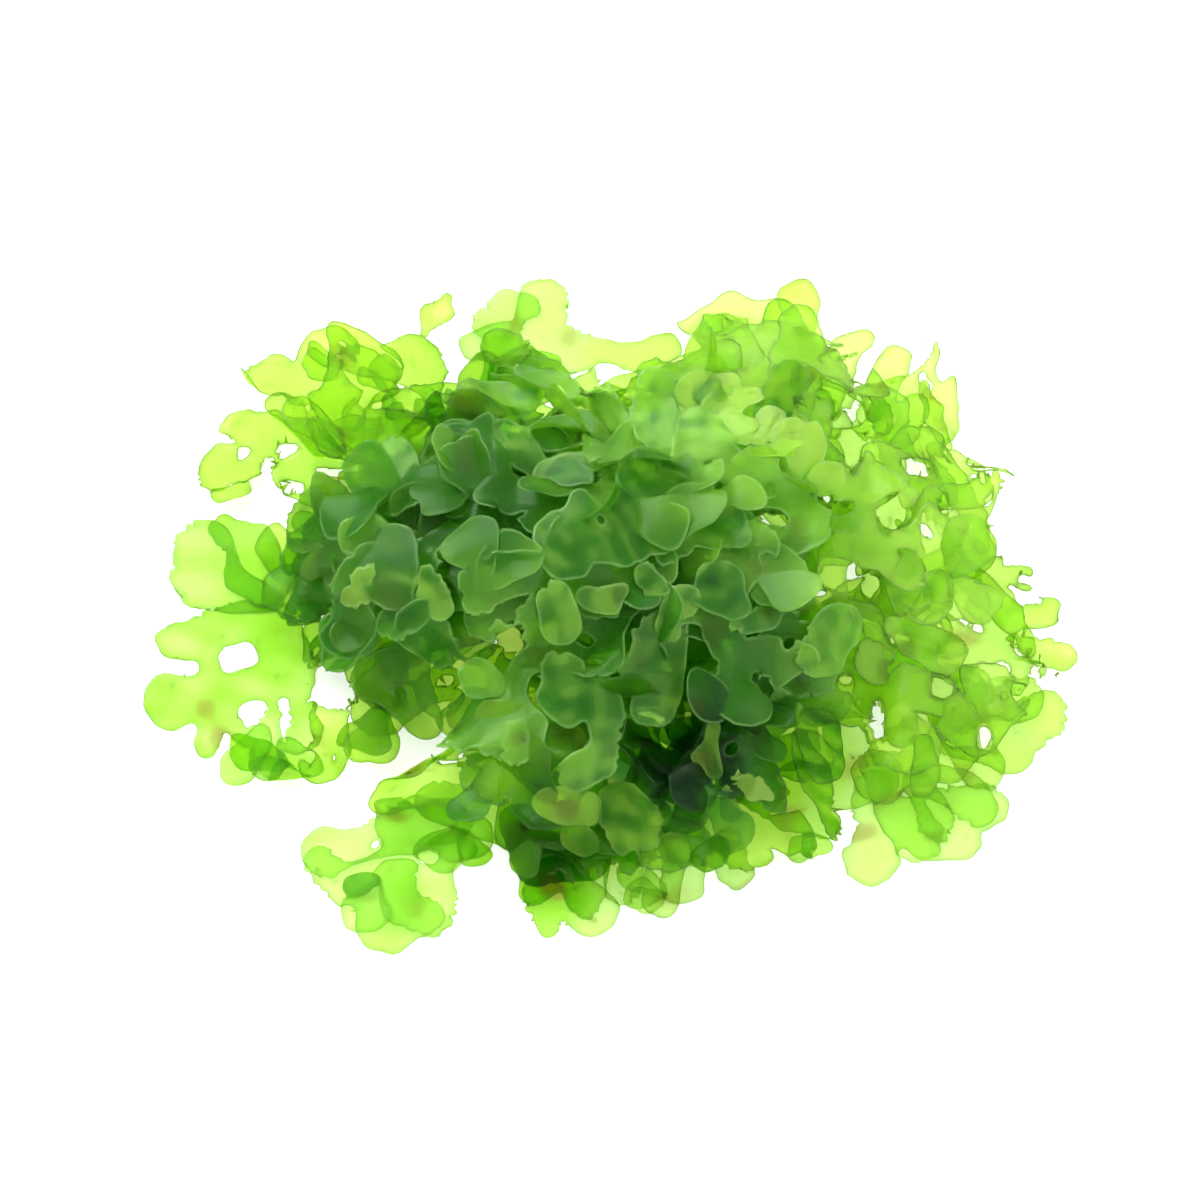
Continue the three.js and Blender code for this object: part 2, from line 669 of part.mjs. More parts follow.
// Pushes a falling probe clear of a lying one, or of another part of its own sheet.
function keepClear(points, probe, other, ownSheet) {
  const dx = probe.x - other.x;
  const dy = probe.y - other.y;
  const dz = probe.z - other.z;
  const squared = dx * dx + dy * dy + dz * dz;
  if (squared >= SHEET_CLEARANCE * SHEET_CLEARANCE || squared < 1e-12) return;
  if (ownSheet && Math.hypot(probe.u - other.u, probe.v - other.v) < SETTLE.ownClearance) return;
  const distance = Math.sqrt(squared);
  const push = ((SHEET_CLEARANCE - distance) / distance) * (ownSheet ? 0.25 : 0.5);
  shift(points, probe, dx * push, dy * push, dz * push);
  if (ownSheet) shift(points, other, -dx * push, -dy * push, -dz * push);
}

function separate(sheet, lying) {
  const { points, probes } = sheet;
  placeProbes(sheet);
  const own = new ProbeCells();
  probes.forEach((probe) => own.add(probe));
  for (const probe of probes) {
    lying.near(probe.x, probe.y, probe.z, (other) => keepClear(points, probe, other, false));
    own.near(probe.x, probe.y, probe.z, (other) => keepClear(points, probe, other, true));
  }
}

// Lifts a sheet until all of it is just above what lies under it.
function liftClear(sheet, lying) {
  const lift = Math.max(
    ...sheet.probes.map(({ x, y, z }) => lying.heightNear(x, y) + SHEET_CLEARANCE * 1.05 - z),
  );
  for (const point of sheet.points) point.z += lift;
  placeProbes(sheet);
}

// Lets a sheet fall onto the surface and onto the sheets that already lie there.
function settle(sheet, lying) {
  const floor = SHEET_THICKNESS / 2;
  const { points } = sheet;
  const before = points.map((point) => point.clone());
  const move = new THREE.Vector3();
  for (let step = 0; step < SETTLE.steps + SETTLE.restSteps; step += 1) {
    const resting = step >= SETTLE.steps;
    points.forEach((point, index) => {
      const old = before[index];
      move.subVectors(point, old).multiplyScalar(resting ? 0 : SETTLE.damping);
      move.x *= SETTLE.sideDamping;
      move.y *= SETTLE.sideDamping;
      if (!resting) move.z -= SETTLE.fall;
      move.clampLength(0, SETTLE.fastest);
      old.copy(point);
      point.add(move);
    });
    for (let pass = 0; pass < SETTLE.relaxations; pass += 1) {
      holdShape(sheet);
      if (pass % 2 === 0) separate(sheet, lying);
      points.forEach((point, index) => {
        if (point.z >= floor) return;
        point.z = floor;
        const old = before[index];
        old.x += (point.x - old.x) * SETTLE.grip;
        old.y += (point.y - old.y) * SETTLE.grip;
      });
    }
  }
}

// Turns a settled sheet into a closed solid: half the thickness to each side along the
// middle, none at the margin. Where it lies on the surface its underside is flat.
function solidOf({ flat, points }) {
  const rim = rimCornersOf(flat.triangles);
  const normals = points.map(() => new THREE.Vector3());
  for (const [a, b, c] of flat.triangles) {
    const one = points[b].clone().sub(points[a]);
    const normal = one.cross(points[c].clone().sub(points[a]));
    for (const corner of [a, b, c]) normals[corner].add(normal);
  }
  const half = SHEET_THICKNESS / 2;
  const grounded = points.map((point) => point.z < half + SETTLE.groundGap);
  const top = points.map((point, index) => {
    if (rim.has(index)) return grounded[index] ? point.clone().setZ(0) : point.clone();
    return point.clone().addScaledVector(normals[index].normalize(), half);
  });
  const under = points.map((point, index) => {
    const below = point.clone().addScaledVector(normals[index], -half);
    return grounded[index] || below.z < 0 ? below.setZ(0) : below;
  });
  const position = [];
  const push = (...corners) => corners.forEach((corner) => position.push(corner.x, corner.y, corner.z));
  for (const [a, b, c] of flat.triangles) {
    push(top[a], top[b], top[c]);
    const [lowA, lowB, lowC] = [a, b, c].map((i) => (rim.has(i) ? top[i] : under[i]));
    push(lowA, lowC, lowB);
  }
  const geometry = new THREE.BufferGeometry();
  geometry.setAttribute("position", new THREE.Float32BufferAttribute(position, 3));
  geometry.computeVertexNormals();
  return geometry;
}

// The whole clump, built from the surface up.
function pileUp() {
  const lying = new ProbeCells();
  const putDown = (sheet) => {
    placeProbes(sheet);
    sheet.probes.forEach((probe) => lying.add(probe));
    return sheet;
  };
  const flat = FLAT_THALLI.map((thallus) => {
    const sheet = limpSheet({ ...thallus, curl: 0, pitch: 0, roll: 0 });
    for (const point of sheet.points) point.z = SHEET_THICKNESS / 2;
    return putDown(sheet);
  });
  const fallen = FALLEN_THALLI.map((thallus) => {
    const sheet = limpSheet(thallus);
    liftClear(sheet, lying);
    settle(sheet, lying);
    return putDown(sheet);
  });
  return [...flat, ...fallen];
}

const COLOURS = {
  left: "#b8e63c",
  back: "#c3ec62",
  front: "#a9dd3a",
  right: "#b8e63c",
  edge: "#93d234",
  slope: "#62b32e",
  shoulder: "#3f8f32",
  crown: "#4c9a48",
  top: "#5aa255",
};

function materialOf(name) {
  const [, place] = name.split("_");
  return new THREE.MeshStandardMaterial({
    color: COLOURS[place],
    roughness: 0.35,
    metalness: 0,
    side: THREE.DoubleSide,
  });
}

function buildClump() {
  const clump = new THREE.Group();
  for (const sheet of pileUp()) {
    const mesh = new THREE.Mesh(solidOf(sheet), materialOf(sheet.thallus.name));
    mesh.name = sheet.thallus.name;
    clump.add(mesh);
  }
  const box = new THREE.Box3().setFromObject(clump);
  const middle = box.getCenter(new THREE.Vector3());
  clump.position.set(-middle.x, -middle.y, 0);
  return clump;
}

const clump = buildClump();
export default clump;
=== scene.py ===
# Round pellia: a loose wet clump of fern thalli, lying on a white table
import bpy
import json
import math
import numpy as np
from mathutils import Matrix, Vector


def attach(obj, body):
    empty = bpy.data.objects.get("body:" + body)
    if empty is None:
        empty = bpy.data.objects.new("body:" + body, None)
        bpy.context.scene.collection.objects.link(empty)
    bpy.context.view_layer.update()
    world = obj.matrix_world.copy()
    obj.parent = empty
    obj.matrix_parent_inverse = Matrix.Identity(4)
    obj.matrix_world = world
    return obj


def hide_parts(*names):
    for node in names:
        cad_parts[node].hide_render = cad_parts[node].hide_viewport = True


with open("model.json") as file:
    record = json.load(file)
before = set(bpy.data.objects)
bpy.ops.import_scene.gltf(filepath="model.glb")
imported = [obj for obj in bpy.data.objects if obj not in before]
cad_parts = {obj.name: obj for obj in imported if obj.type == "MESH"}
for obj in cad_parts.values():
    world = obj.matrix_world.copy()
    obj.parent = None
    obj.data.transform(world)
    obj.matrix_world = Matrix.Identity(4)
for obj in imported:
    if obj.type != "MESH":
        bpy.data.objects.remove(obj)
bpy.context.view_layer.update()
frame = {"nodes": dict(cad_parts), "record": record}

mm = 0.001
scene = bpy.context.scene

# View: from straight in front and above. Pixels are those of the 1181 x 1181 photograph
view = {
    "elevation": 50.0,
    "distance": 0.8,
    "frameSize": 1181,
    "pixelsPerMm": 10.0,
    "middlePixel": (611, 613),
    "aim": (-0.00074, 0.00059, 0.0),
}

# Studio light: an even pale dome with a large soft light high on the left behind the
# clump and a weaker one in front, given as directions and the cosines of their edges
light = {
    "dome": 0.86,
    "tint": (0.98, 1.0, 0.98, 1),
    "softLights": (
        {"toward": (-0.45, 0.5, 0.75), "edge": (0.87, 0.98), "strength": 9.5},
        {"toward": (0.55, -0.6, 0.6), "edge": (0.75, 0.98), "strength": 2.2},
    ),
}


def tablePlace(pixel, height):
    # Where the camera's ray through a pixel comes down to a height over the table, in mm
    slope = math.radians(view["elevation"])
    across = (pixel[0] - view["middlePixel"][0]) / view["pixelsPerMm"]
    up = (view["middlePixel"][1] - pixel[1]) / view["pixelsPerMm"]
    aim = np.array(view["aim"]) / mm
    camera = aim + np.array([0, -math.cos(slope), math.sin(slope)]) * view["distance"] / mm
    seen = aim + np.array([across, up * math.sin(slope), up * math.cos(slope)])
    return camera + (seen - camera) * (camera[2] - height) / (camera[2] - seen[2])


def seenFrom(points):
    # Where the camera sees points, given in mm: their offsets from the aim, turned into the
    # picture plane and scaled by the aim's distance over their own, and how much nearer they are
    slope = math.radians(view["elevation"])
    offset = points - np.array(view["aim"]) / mm
    up = offset[:, 1] * math.sin(slope) + offset[:, 2] * math.cos(slope)
    nearer = offset[:, 2] * math.sin(slope) - offset[:, 1] * math.cos(slope)
    scale = view["pixelsPerMm"] / (1 - nearer * mm / view["distance"])
    across, down = view["middlePixel"]
    return np.stack([across + offset[:, 0] * scale, down - up * scale], axis=1), nearer


def pixelsOf(points):
    return seenFrom(points)[0]


def placesAt(pixels, nearer):
    # The points that the camera sees at pixels, so much nearer than the aim: seenFrom undone
    slope = math.radians(view["elevation"])
    scale = view["pixelsPerMm"] / (1 - nearer * mm / view["distance"])
    across = (pixels[:, 0] - view["middlePixel"][0]) / scale
    up = (view["middlePixel"][1] - pixels[:, 1]) / scale
    return np.array(view["aim"]) / mm + np.stack([
        across, up * math.sin(slope) - nearer * math.cos(slope),
        up * math.cos(slope) + nearer * math.sin(slope)], axis=1)


def addObject(name, data):
    added = bpy.data.objects.new(name, data)
    scene.collection.objects.link(added)
    return added


def setInputs(node, values):
    # Links a node's inputs to the values that are sockets, and sets them to the others
    for socket, value in values.items():
        if isinstance(value, bpy.types.NodeSocket):
            node.id_data.links.new(value, node.inputs[socket])
        else:
            node.inputs[socket].default_value = value


def makeNode(tree, kind, values, **settings):
    # Adds a node, and gives its outputs
    node = tree.nodes.new("ShaderNode" + kind)
    for name, setting in settings.items():
        setattr(node, name, setting)
    setInputs(node, values)
    return node.outputs


def makeCamera():
    camera = bpy.data.cameras.new("camera")
    cameraObject = addObject("camera", camera)
    elevation = math.radians(view["elevation"])
    back = Vector((0, -math.cos(elevation), math.sin(elevation)))
    frameWidth = view["frameSize"] / view["pixelsPerMm"] * mm
    camera.sensor_width = 36
    camera.sensor_fit = "HORIZONTAL"
    camera.lens = camera.sensor_width * view["distance"] / frameWidth
    camera.shift_x = 0.5 - view["middlePixel"][0] / view["frameSize"]
    camera.shift_y = view["middlePixel"][1] / view["frameSize"] - 0.5
    camera.clip_start = 0.01
    cameraObject.location = Vector(view["aim"]) + back * view["distance"]
    cameraObject.rotation_euler = back.to_track_quat("Z", "Y").to_euler()
    scene.camera = cameraObject


def makeLight():
    world = bpy.data.worlds.new("studio")
    scene.world = world
    world.use_nodes = True
    world.cycles.sampling_method = "NONE"
    tree = world.node_tree
    direction = makeNode(tree, "TexCoord", {})["Generated"]
    strength = light["dome"]
    for softLight in light["softLights"]:
        toward = Vector(softLight["toward"]).normalized()
        cosine = makeNode(tree, "VectorMath", {0: direction, 1: toward}, operation="DOT_PRODUCT")
        low, high = softLight["edge"]
        glow = makeNode(tree, "MapRange", {
            "Value": cosine["Value"], "From Min": low, "From Max": high,
            "To Max": softLight["strength"]}, interpolation_type="SMOOTHSTEP")
        total = makeNode(tree, "Math", {0: glow["Result"], 1: strength}, operation="ADD")
        strength = total["Value"]
    setInputs(tree.nodes["Background"], {"Color": light["tint"], "Strength": strength})


def makeTable():
    table = {"size": 3.0, "colour": (0.55, 0.56, 0.55, 1), "roughness": 0.6, "glow": 0.65}
    half = table["size"] / 2
    mesh = bpy.data.meshes.new("table")
    mesh.from_pydata([(-half, -half, 0), (half, -half, 0), (half, half, 0), (-half, half, 0)],
                     [], [(0, 1, 2, 3)])
    tableObject = addObject("table", mesh)
    material = bpy.data.materials.new("whiteTable")
    material.use_nodes = True
    setInputs(material.node_tree.nodes["Principled BSDF"], {
        "Base Color": table["colour"],
        "Roughness": table["roughness"],
        "Emission Color": (1, 1, 1, 1),
        "Emission Strength": table["glow"],
    })
    material.cycles.emission_sampling = "NONE"
    mesh.materials.append(material)


makeCamera()
makeLight()
makeTable()
scene.view_settings.view_transform = "Standard"
scene.cycles.max_bounces = 4
scene.cycles.diffuse_bounces = 2
scene.cycles.glossy_bounces = 2
scene.cycles.transmission_bounces = 3
scene.cycles.transparent_max_bounces = 18
scene.cycles.caustics_reflective = False
scene.cycles.caustics_refractive = False
scene.cycles.denoising_input_passes = "RGB"
print("stage ready")

# How one leaf sheet is smoothed and finished: lengths in millimetres, the rest shares
sheet = {
    "cadThickness": 0.6,
    "marginGap": 1.35,  # times the thickness: far corners of two faces that meet across the margin
    "thickness": 0.16,
    "rimInset": 0.1,
    "levels": 3,
    "pushes": 3,
    "push": 0.85,
    "ruffle": 0.3,
    "ruffleLength": 4.2,
    "ruffleReach": 1.7,
    "ripple": 0.16,
    "rippleLength": 7.5,
    "crinkle": 0.022,
    "crinkleLength": 1.5,
    "cup": 0.3,
    "cupLength": 14,
    "cupReach": 1.3,
    "edgeWobble": 0.13,
    "edgeWobbleLength": 2.4,
    "nibble": 0.42,
    "nibbleLength": 0.95,
    "nibbleReach": 0.75,
    "wornLength": 11,
    "wornSteps": (0.1, 0.8),
    "floorGap": 0.03,
}


def waveNoise(points, length, seed, waves=7):
    # Sum of sine waves of about one length in random directions, scaled to about -1..1
    random = np.random.default_rng(seed)
    directions = random.normal(size=(waves, 3))
    directions /= np.linalg.norm(directions, axis=1)[:, None]
    rates = 2 * np.pi / (length * random.uniform(0.7, 1.4, waves))
    phases = random.uniform(0, 2 * np.pi, waves)
    return np.sin(points @ (directions * rates[:, None]).T + phases).sum(axis=1) / math.sqrt(waves)


def smoothStep(low, high, values):
    share = np.clip((values - low) / (high - low), 0, 1)
    return share * share * (3 - 2 * share)


def partLabels(pairs, count):
    # For each of so many things, the lowest number in its part, which the pairs link together
    labels = np.arange(count)
    while True:
        before = labels.copy()
        lowest = np.minimum(labels[pairs[:, 0]], labels[pairs[:, 1]])
        np.minimum.at(labels, pairs[:, 0], lowest)
        np.minimum.at(labels, pairs[:, 1], lowest)
        labels = labels[labels]
        if (before == labels).all():
            return labels


def neighbourSums(points, start, end):
    # For each point, the sum of the points at the other ends of its sides
    sums = np.zeros_like(points)
    np.add.at(sums, start, points[end])
    np.add.at(sums, end, points[start])
    return sums


def edgesOf(faces, count):
    # Each edge once: its ends, the entry of every face side in that list, and how often it is used
    sides = np.sort(np.concatenate([faces[:, [0, 1]], faces[:, [1, 2]], faces[:, [2, 0]]]), axis=1)
    keys = sides[:, 0] * count + sides[:, 1]
    unused, first, entry, uses = np.unique(
        keys, return_index=True, return_inverse=True, return_counts=True)
    return sides[first], entry.ravel(), uses


def cadSheet(node):
    # The upper skin of a thallus's solid, merged, and moved down to the middle of its thickness
    mesh = node.data
    coordinates = np.empty(len(mesh.vertices) * 3)
    mesh.vertices.foreach_get("co", coordinates)
    corners = np.empty(len(mesh.loops), np.int64)
    mesh.loops.foreach_get("vertex_index", corners)
    places = np.round(coordinates.reshape(-1, 3)[corners] / mm, 3)
    points, faces = np.unique(places, axis=0, return_inverse=True)
    faces = faces.reshape(-1, 3)
    unusedEnds, entry, unusedUses = edgesOf(faces, len(points))
    order = np.argsort(entry, kind="stable")
    pairs = (order % len(faces)).reshape(-1, 2)
    across = np.concatenate([faces[:, 2], faces[:, 0], faces[:, 1]])[order].reshape(-1, 2)
    gap = np.linalg.norm(points[across[:, 0]] - points[across[:, 1]], axis=1)
    pairs = pairs[gap > sheet["cadThickness"] * sheet["marginGap"]]
    labels = partLabels(pairs, len(faces))
    skins = np.unique(labels)
    facing = faceNormals(points, faces)
    upward = [facing[labels == skin, 2].sum() for skin in skins]
    top = faces[labels == skins[int(np.argmax(upward))]]
    if len(skins) != 2 or len(top) * 2 != len(faces):
        print("uneven skins on", node.name, len(skins), len(top), len(faces))
    used, top = np.unique(top, return_inverse=True)
    points = points[used]
    top = top.reshape(-1, 3)
    normals = vertexNormals(points, top)
    ends, unusedEntry, uses = edgesOf(top, len(points))
    inner = np.ones(len(points), bool)
    inner[ends[uses == 1].ravel()] = False
    points[inner] -= normals[inner] * sheet["cadThickness"] / 2
    return points, top


def faceNormals(points, faces):
    # The cross product of two sides: twice the face's area, the way that it faces
    a, b, c = (points[faces[:, corner]] for corner in range(3))
    return np.cross(b - a, c - a)


def vertexNormals(points, faces):
    facing = faceNormals(points, faces)
    normals = np.zeros_like(points)
    for corner in range(3):
        np.add.at(normals, faces[:, corner], facing)
    return normals / np.maximum(np.linalg.norm(normals, axis=1), 1e-12)[:, None]


def loopStep(points, faces):
    # One Loop step: each side gets a point at 3/8 its ends and 1/8 the corners across it,
    # each old point moves toward its neighbours, and the margin follows its own curve
    count = len(points)
    ends, entry, uses = edgesOf(faces, count)
    across = np.concatenate([faces[:, 2], faces[:, 0], faces[:, 1]])
    acrossSum = np.zeros((len(ends), points.shape[1]))
    np.add.at(acrossSum, entry, points[across])
    endSum = points[ends[:, 0]] + points[ends[:, 1]]
    rim = uses == 1
    middles = np.where(rim[:, None], endSum / 2, endSum * 3 / 8 + acrossSum / 8)
    neighbours = np.bincount(ends.ravel(), minlength=count)
    share = np.where(neighbours > 3, 3 / (8 * np.maximum(neighbours, 1)), 3 / 16)
    beside = neighbourSums(points, *ends.T)
    moved = points * (1 - neighbours * share)[:, None] + beside * share[:, None]
    onRim = np.zeros(count, bool)
    onRim[ends[rim].ravel()] = True
    beside = neighbourSums(points, *ends[rim].T)
    moved[onRim] = points[onRim] * 0.75 + beside[onRim] / 8
    ab, bc, ca = (count + entry).reshape(3, -1)
    a, b, c = faces.T
    finer = np.concatenate([np.stack(corners, axis=1) for corners in
                            ((a, ab, ca), (b, bc, ab), (c, ca, bc), (ab, bc, ca))])
    return np.concatenate([moved, middles]), finer


def smoothSheet(points, faces, levels):
    # Loop subdivision whose control points are first pushed out, so it keeps the sheet's reach
    control = points.copy()
    for unused in range(sheet["pushes"]):
        trial, trialFaces = loopStep(*loopStep(control, faces))
        control += sheet["push"] * (points - trial[:len(points)])
    for unused in range(levels):
        control, faces = loopStep(control, faces)
    return control, faces


def withoutPinches(faces, count):
    # Takes faces away round any point where two parts of the margin meet
    while True:
        start, end = rimSides(faces, count)
        crowded = np.bincount(start, minlength=count) > 1
        if not crowded.any():
            return faces
        faces = faces[~crowded[faces].any(axis=1)]


def rimSides(faces, count):
    # The margin's sides, each from its start to its end with the sheet on the left
    unusedEnds, entry, uses = edgesOf(faces, count)
    start = np.concatenate([faces[:, 0], faces[:, 1], faces[:, 2]])
    end = np.concatenate([faces[:, 1], faces[:, 2], faces[:, 0]])
    single = uses[entry] == 1
    return start[single], end[single]


def carve(points, faces, slot):
    # Cuts away all that lies within w(s) of a line, where w runs from one half width at its
    # start to another at its end, and wavers. A hole is a short line with near equal widths
    line = slot["end"] - slot["start"]
    share = np.clip((points - slot["start"]) @ line / max(line @ line, 1e-9), 0, 1)
    closest = slot["start"] + share[:, None] * line
    away = points - closest
    gap = np.maximum(np.linalg.norm(away, axis=1), 1e-6)
    width = slot["widths"][0] + (slot["widths"][1] - slot["widths"][0]) * share
    width *= 1 + slot["ragged"] * waveNoise(points, lobing["raggedLength"], slot["seed"])
    field = gap - width
    kept = withoutPinches(faces[field[faces].mean(axis=1) > 0], len(points))
    start, unusedEnd = rimSides(kept, len(points))
    fresh = start[np.abs(field[start]) < lobing["snap"]]
    moved = points.copy()
    moved[fresh] = closest[fresh] + away[fresh] * (width / gap)[fresh, None]
    return moved, kept


def trimmed(points, faces):
    # The largest part that hangs together, with only the points that it uses
    faces = withoutPinches(largestPart(faces, len(points)), len(points))
    used, faces = np.unique(faces, return_inverse=True)
    return points[used], faces.reshape(-1, 3)


# How a sheet is cut into ribbons and lobes: half widths, depths as shares, holes
lobing = {
    "ribbon": (2.0, 2.9),
    "mouth": (0.45, 1.0),
    "inner": (0.12, 0.4),
    "mostSlots": 9,
    "chance": (0.85, 1),
    "outside": 0.5,
    "depth": (0.05, 0.35),
    "ragged": 0.25,
    "raggedLength": 1.3,
    "snap": 0.45,
    "holes": 3,
    "holeRadius": (0.3, 0.8),
    "holeMargin": 0.5,
    "holeTaper": 0.7,
    "holeRagged": 0.3,
    "rounding": 5,
    "drawnRounding": 2,
}


def lobedSheet(points, faces, seed):
    # Cuts slots inward from the margin until no place is farther from it than a ribbon's
    # half width, so that broad sheets part into ribbons and round lobes, then a few holes
    random = np.random.default_rng(seed)
    ribbon = random.uniform(*lobing["ribbon"])
    for number in range(lobing["mostSlots"]):
        unused, unused, unused, rim, outward, nearest, distance = rimFrame(points, faces)
        distance = distance * random.uniform(*lobing["chance"], len(points))
        inner = int(np.argmax(distance))
        if distance[inner] < ribbon:
            break
        mouth = points[rim[nearest[inner]]] + outward[nearest[inner]] * lobing["outside"]
        slot = {
            "start": mouth,
            "end": points[inner] + (mouth - points[inner]) * random.uniform(*lobing["depth"]),
            "widths": (random.uniform(*lobing["mouth"]), random.uniform(*lobing["inner"])),
            "ragged": lobing["ragged"],
            "seed": seed + number,
        }
        points, faces = trimmed(*carve(points, faces, slot))
    for number in range(random.integers(0, lobing["holes"] + 1)):
        radius = random.uniform(*lobing["holeRadius"])
        distance = rimFrame(points, faces)[-1]
        inside = np.flatnonzero(distance > radius + lobing["holeMargin"])
        if len(inside):
            middle = points[random.choice(inside)]
            hole = {
                "start": middle,
                "end": middle + random.normal(size=3) * 0.5,
                "widths": (radius, radius * lobing["holeTaper"]),
                "ragged": lobing["holeRagged"],
                "seed": seed + 50 + number,
            }
            points, faces = trimmed(*carve(points, faces, hole))
    return points, faces


def roundedRim(points, faces, rounds):
    # Draws each margin point toward the middle of its neighbours along the margin
    points = points.copy()
    start, end = rimSides(faces, len(points))
    for unused in range(rounds):
        beside = neighbourSums(points, start, end)
        points[start] = points[start] * 0.5 + beside[start] * 0.25
    return points


def largestPart(faces, count):
    labels = partLabels(edgesOf(faces, count)[0], count)[faces[:, 0]]
    names, sizes = np.unique(labels, return_counts=True)
    return faces[labels == names[np.argmax(sizes)]]


def rimFrame(points, faces):
    # The margin's sides, the way out of the sheet at each margin point, and for every point
    # the margin point nearest to it and how far that is
    normals = vertexNormals(points, faces)
    start, end = rimSides(faces, len(points))
    tangents = np.zeros_like(points)
    along = points[end] - points[start]
    np.add.at(tangents, start, along)
    np.add.at(tangents, end, along)
    rim = np.unique(start)
    outward = np.cross(tangents[rim], normals[rim])
    outward /= np.maximum(np.linalg.norm(outward, axis=1), 1e-9)[:, None]
    gaps = (points[rim] ** 2).sum(axis=1) - 2 * points @ points[rim].T
    nearest = gaps.argmin(axis=1)
    distance = np.linalg.norm(points - points[rim][nearest], axis=1)
    return normals, start, end, rim, outward, nearest, distance


def livingEdge(points, faces, seed, calm):
    # Ruffles, cups and wears the margin: waves along the normal that fade inward from the
    # margin, and a wobble and bites in the sheet's own plane
    normals, unused, unused, rim, outward, nearest, distance = rimFrame(points, faces)
    edgePoints = points[rim][nearest]
    fade = np.exp(-(distance / sheet["ruffleReach"]) ** 2)
    lift = sheet["ruffle"] * fade * waveNoise(points, sheet["ruffleLength"], seed)
    lift += sheet["ripple"] * waveNoise(points, sheet["rippleLength"], seed + 1)
    lift += sheet["crinkle"] * waveNoise(points, sheet["crinkleLength"], seed + 2)
    cupping = sheet["cup"] * np.exp(-distance / sheet["cupReach"])
    lift += cupping * waveNoise(edgePoints, sheet["cupLength"], seed + 3)
    reach = np.exp(-(distance / sheet["nibbleReach"]) ** 2)
    worn = smoothStep(*sheet["wornSteps"], waveNoise(edgePoints, sheet["wornLength"], seed + 4))
    out = sheet["edgeWobble"] * waveNoise(edgePoints, sheet["edgeWobbleLength"], seed + 5)
    out -= sheet["nibble"] * worn * np.abs(waveNoise(edgePoints, sheet["nibbleLength"], seed + 6))
    shaped = points + normals * (lift * calm)[:, None] + outward[nearest] * (out * reach)[:, None]
    lowest = sheet["thickness"] / 2 + sheet["floorGap"]
    shaped[:, 2] = np.maximum(shaped[:, 2], lowest)
    return shaped


def thickSheet(points, faces):
    # Two skins half the thickness either side, closed by a rounded rim along the margin.
    # Gives points, faces and every point's distance from the margin in millimetres
    normals, start, end, rim, outward, unused, distance = rimFrame(points, faces)
    count = len(points)
    half = sheet["thickness"] / 2
    inset = np.zeros_like(points)
    inset[rim] = outward * -sheet["rimInset"]
    top = points + inset + normals * half
    under = points + inset - normals * half
    number = np.zeros(count, np.int64)
    number[rim] = 2 * count + np.arange(len(rim))
    skins = [faces, faces[:, ::-1] + count]
    for corners in ((end, start, number[start]), (end, number[start], number[end]),
                    (start + count, end + count, number[end]),
                    (start + count, number[end], number[start])):
        skins.append(np.stack(corners, axis=1))
    skinDistance = distance.copy()
    skinDistance[rim] = sheet["rimInset"]
    rimDistance = np.concatenate([skinDistance, skinDistance, np.zeros(len(rim))])
    return np.concatenate([top, under, points[rim]]), np.concatenate(skins), rimDistance


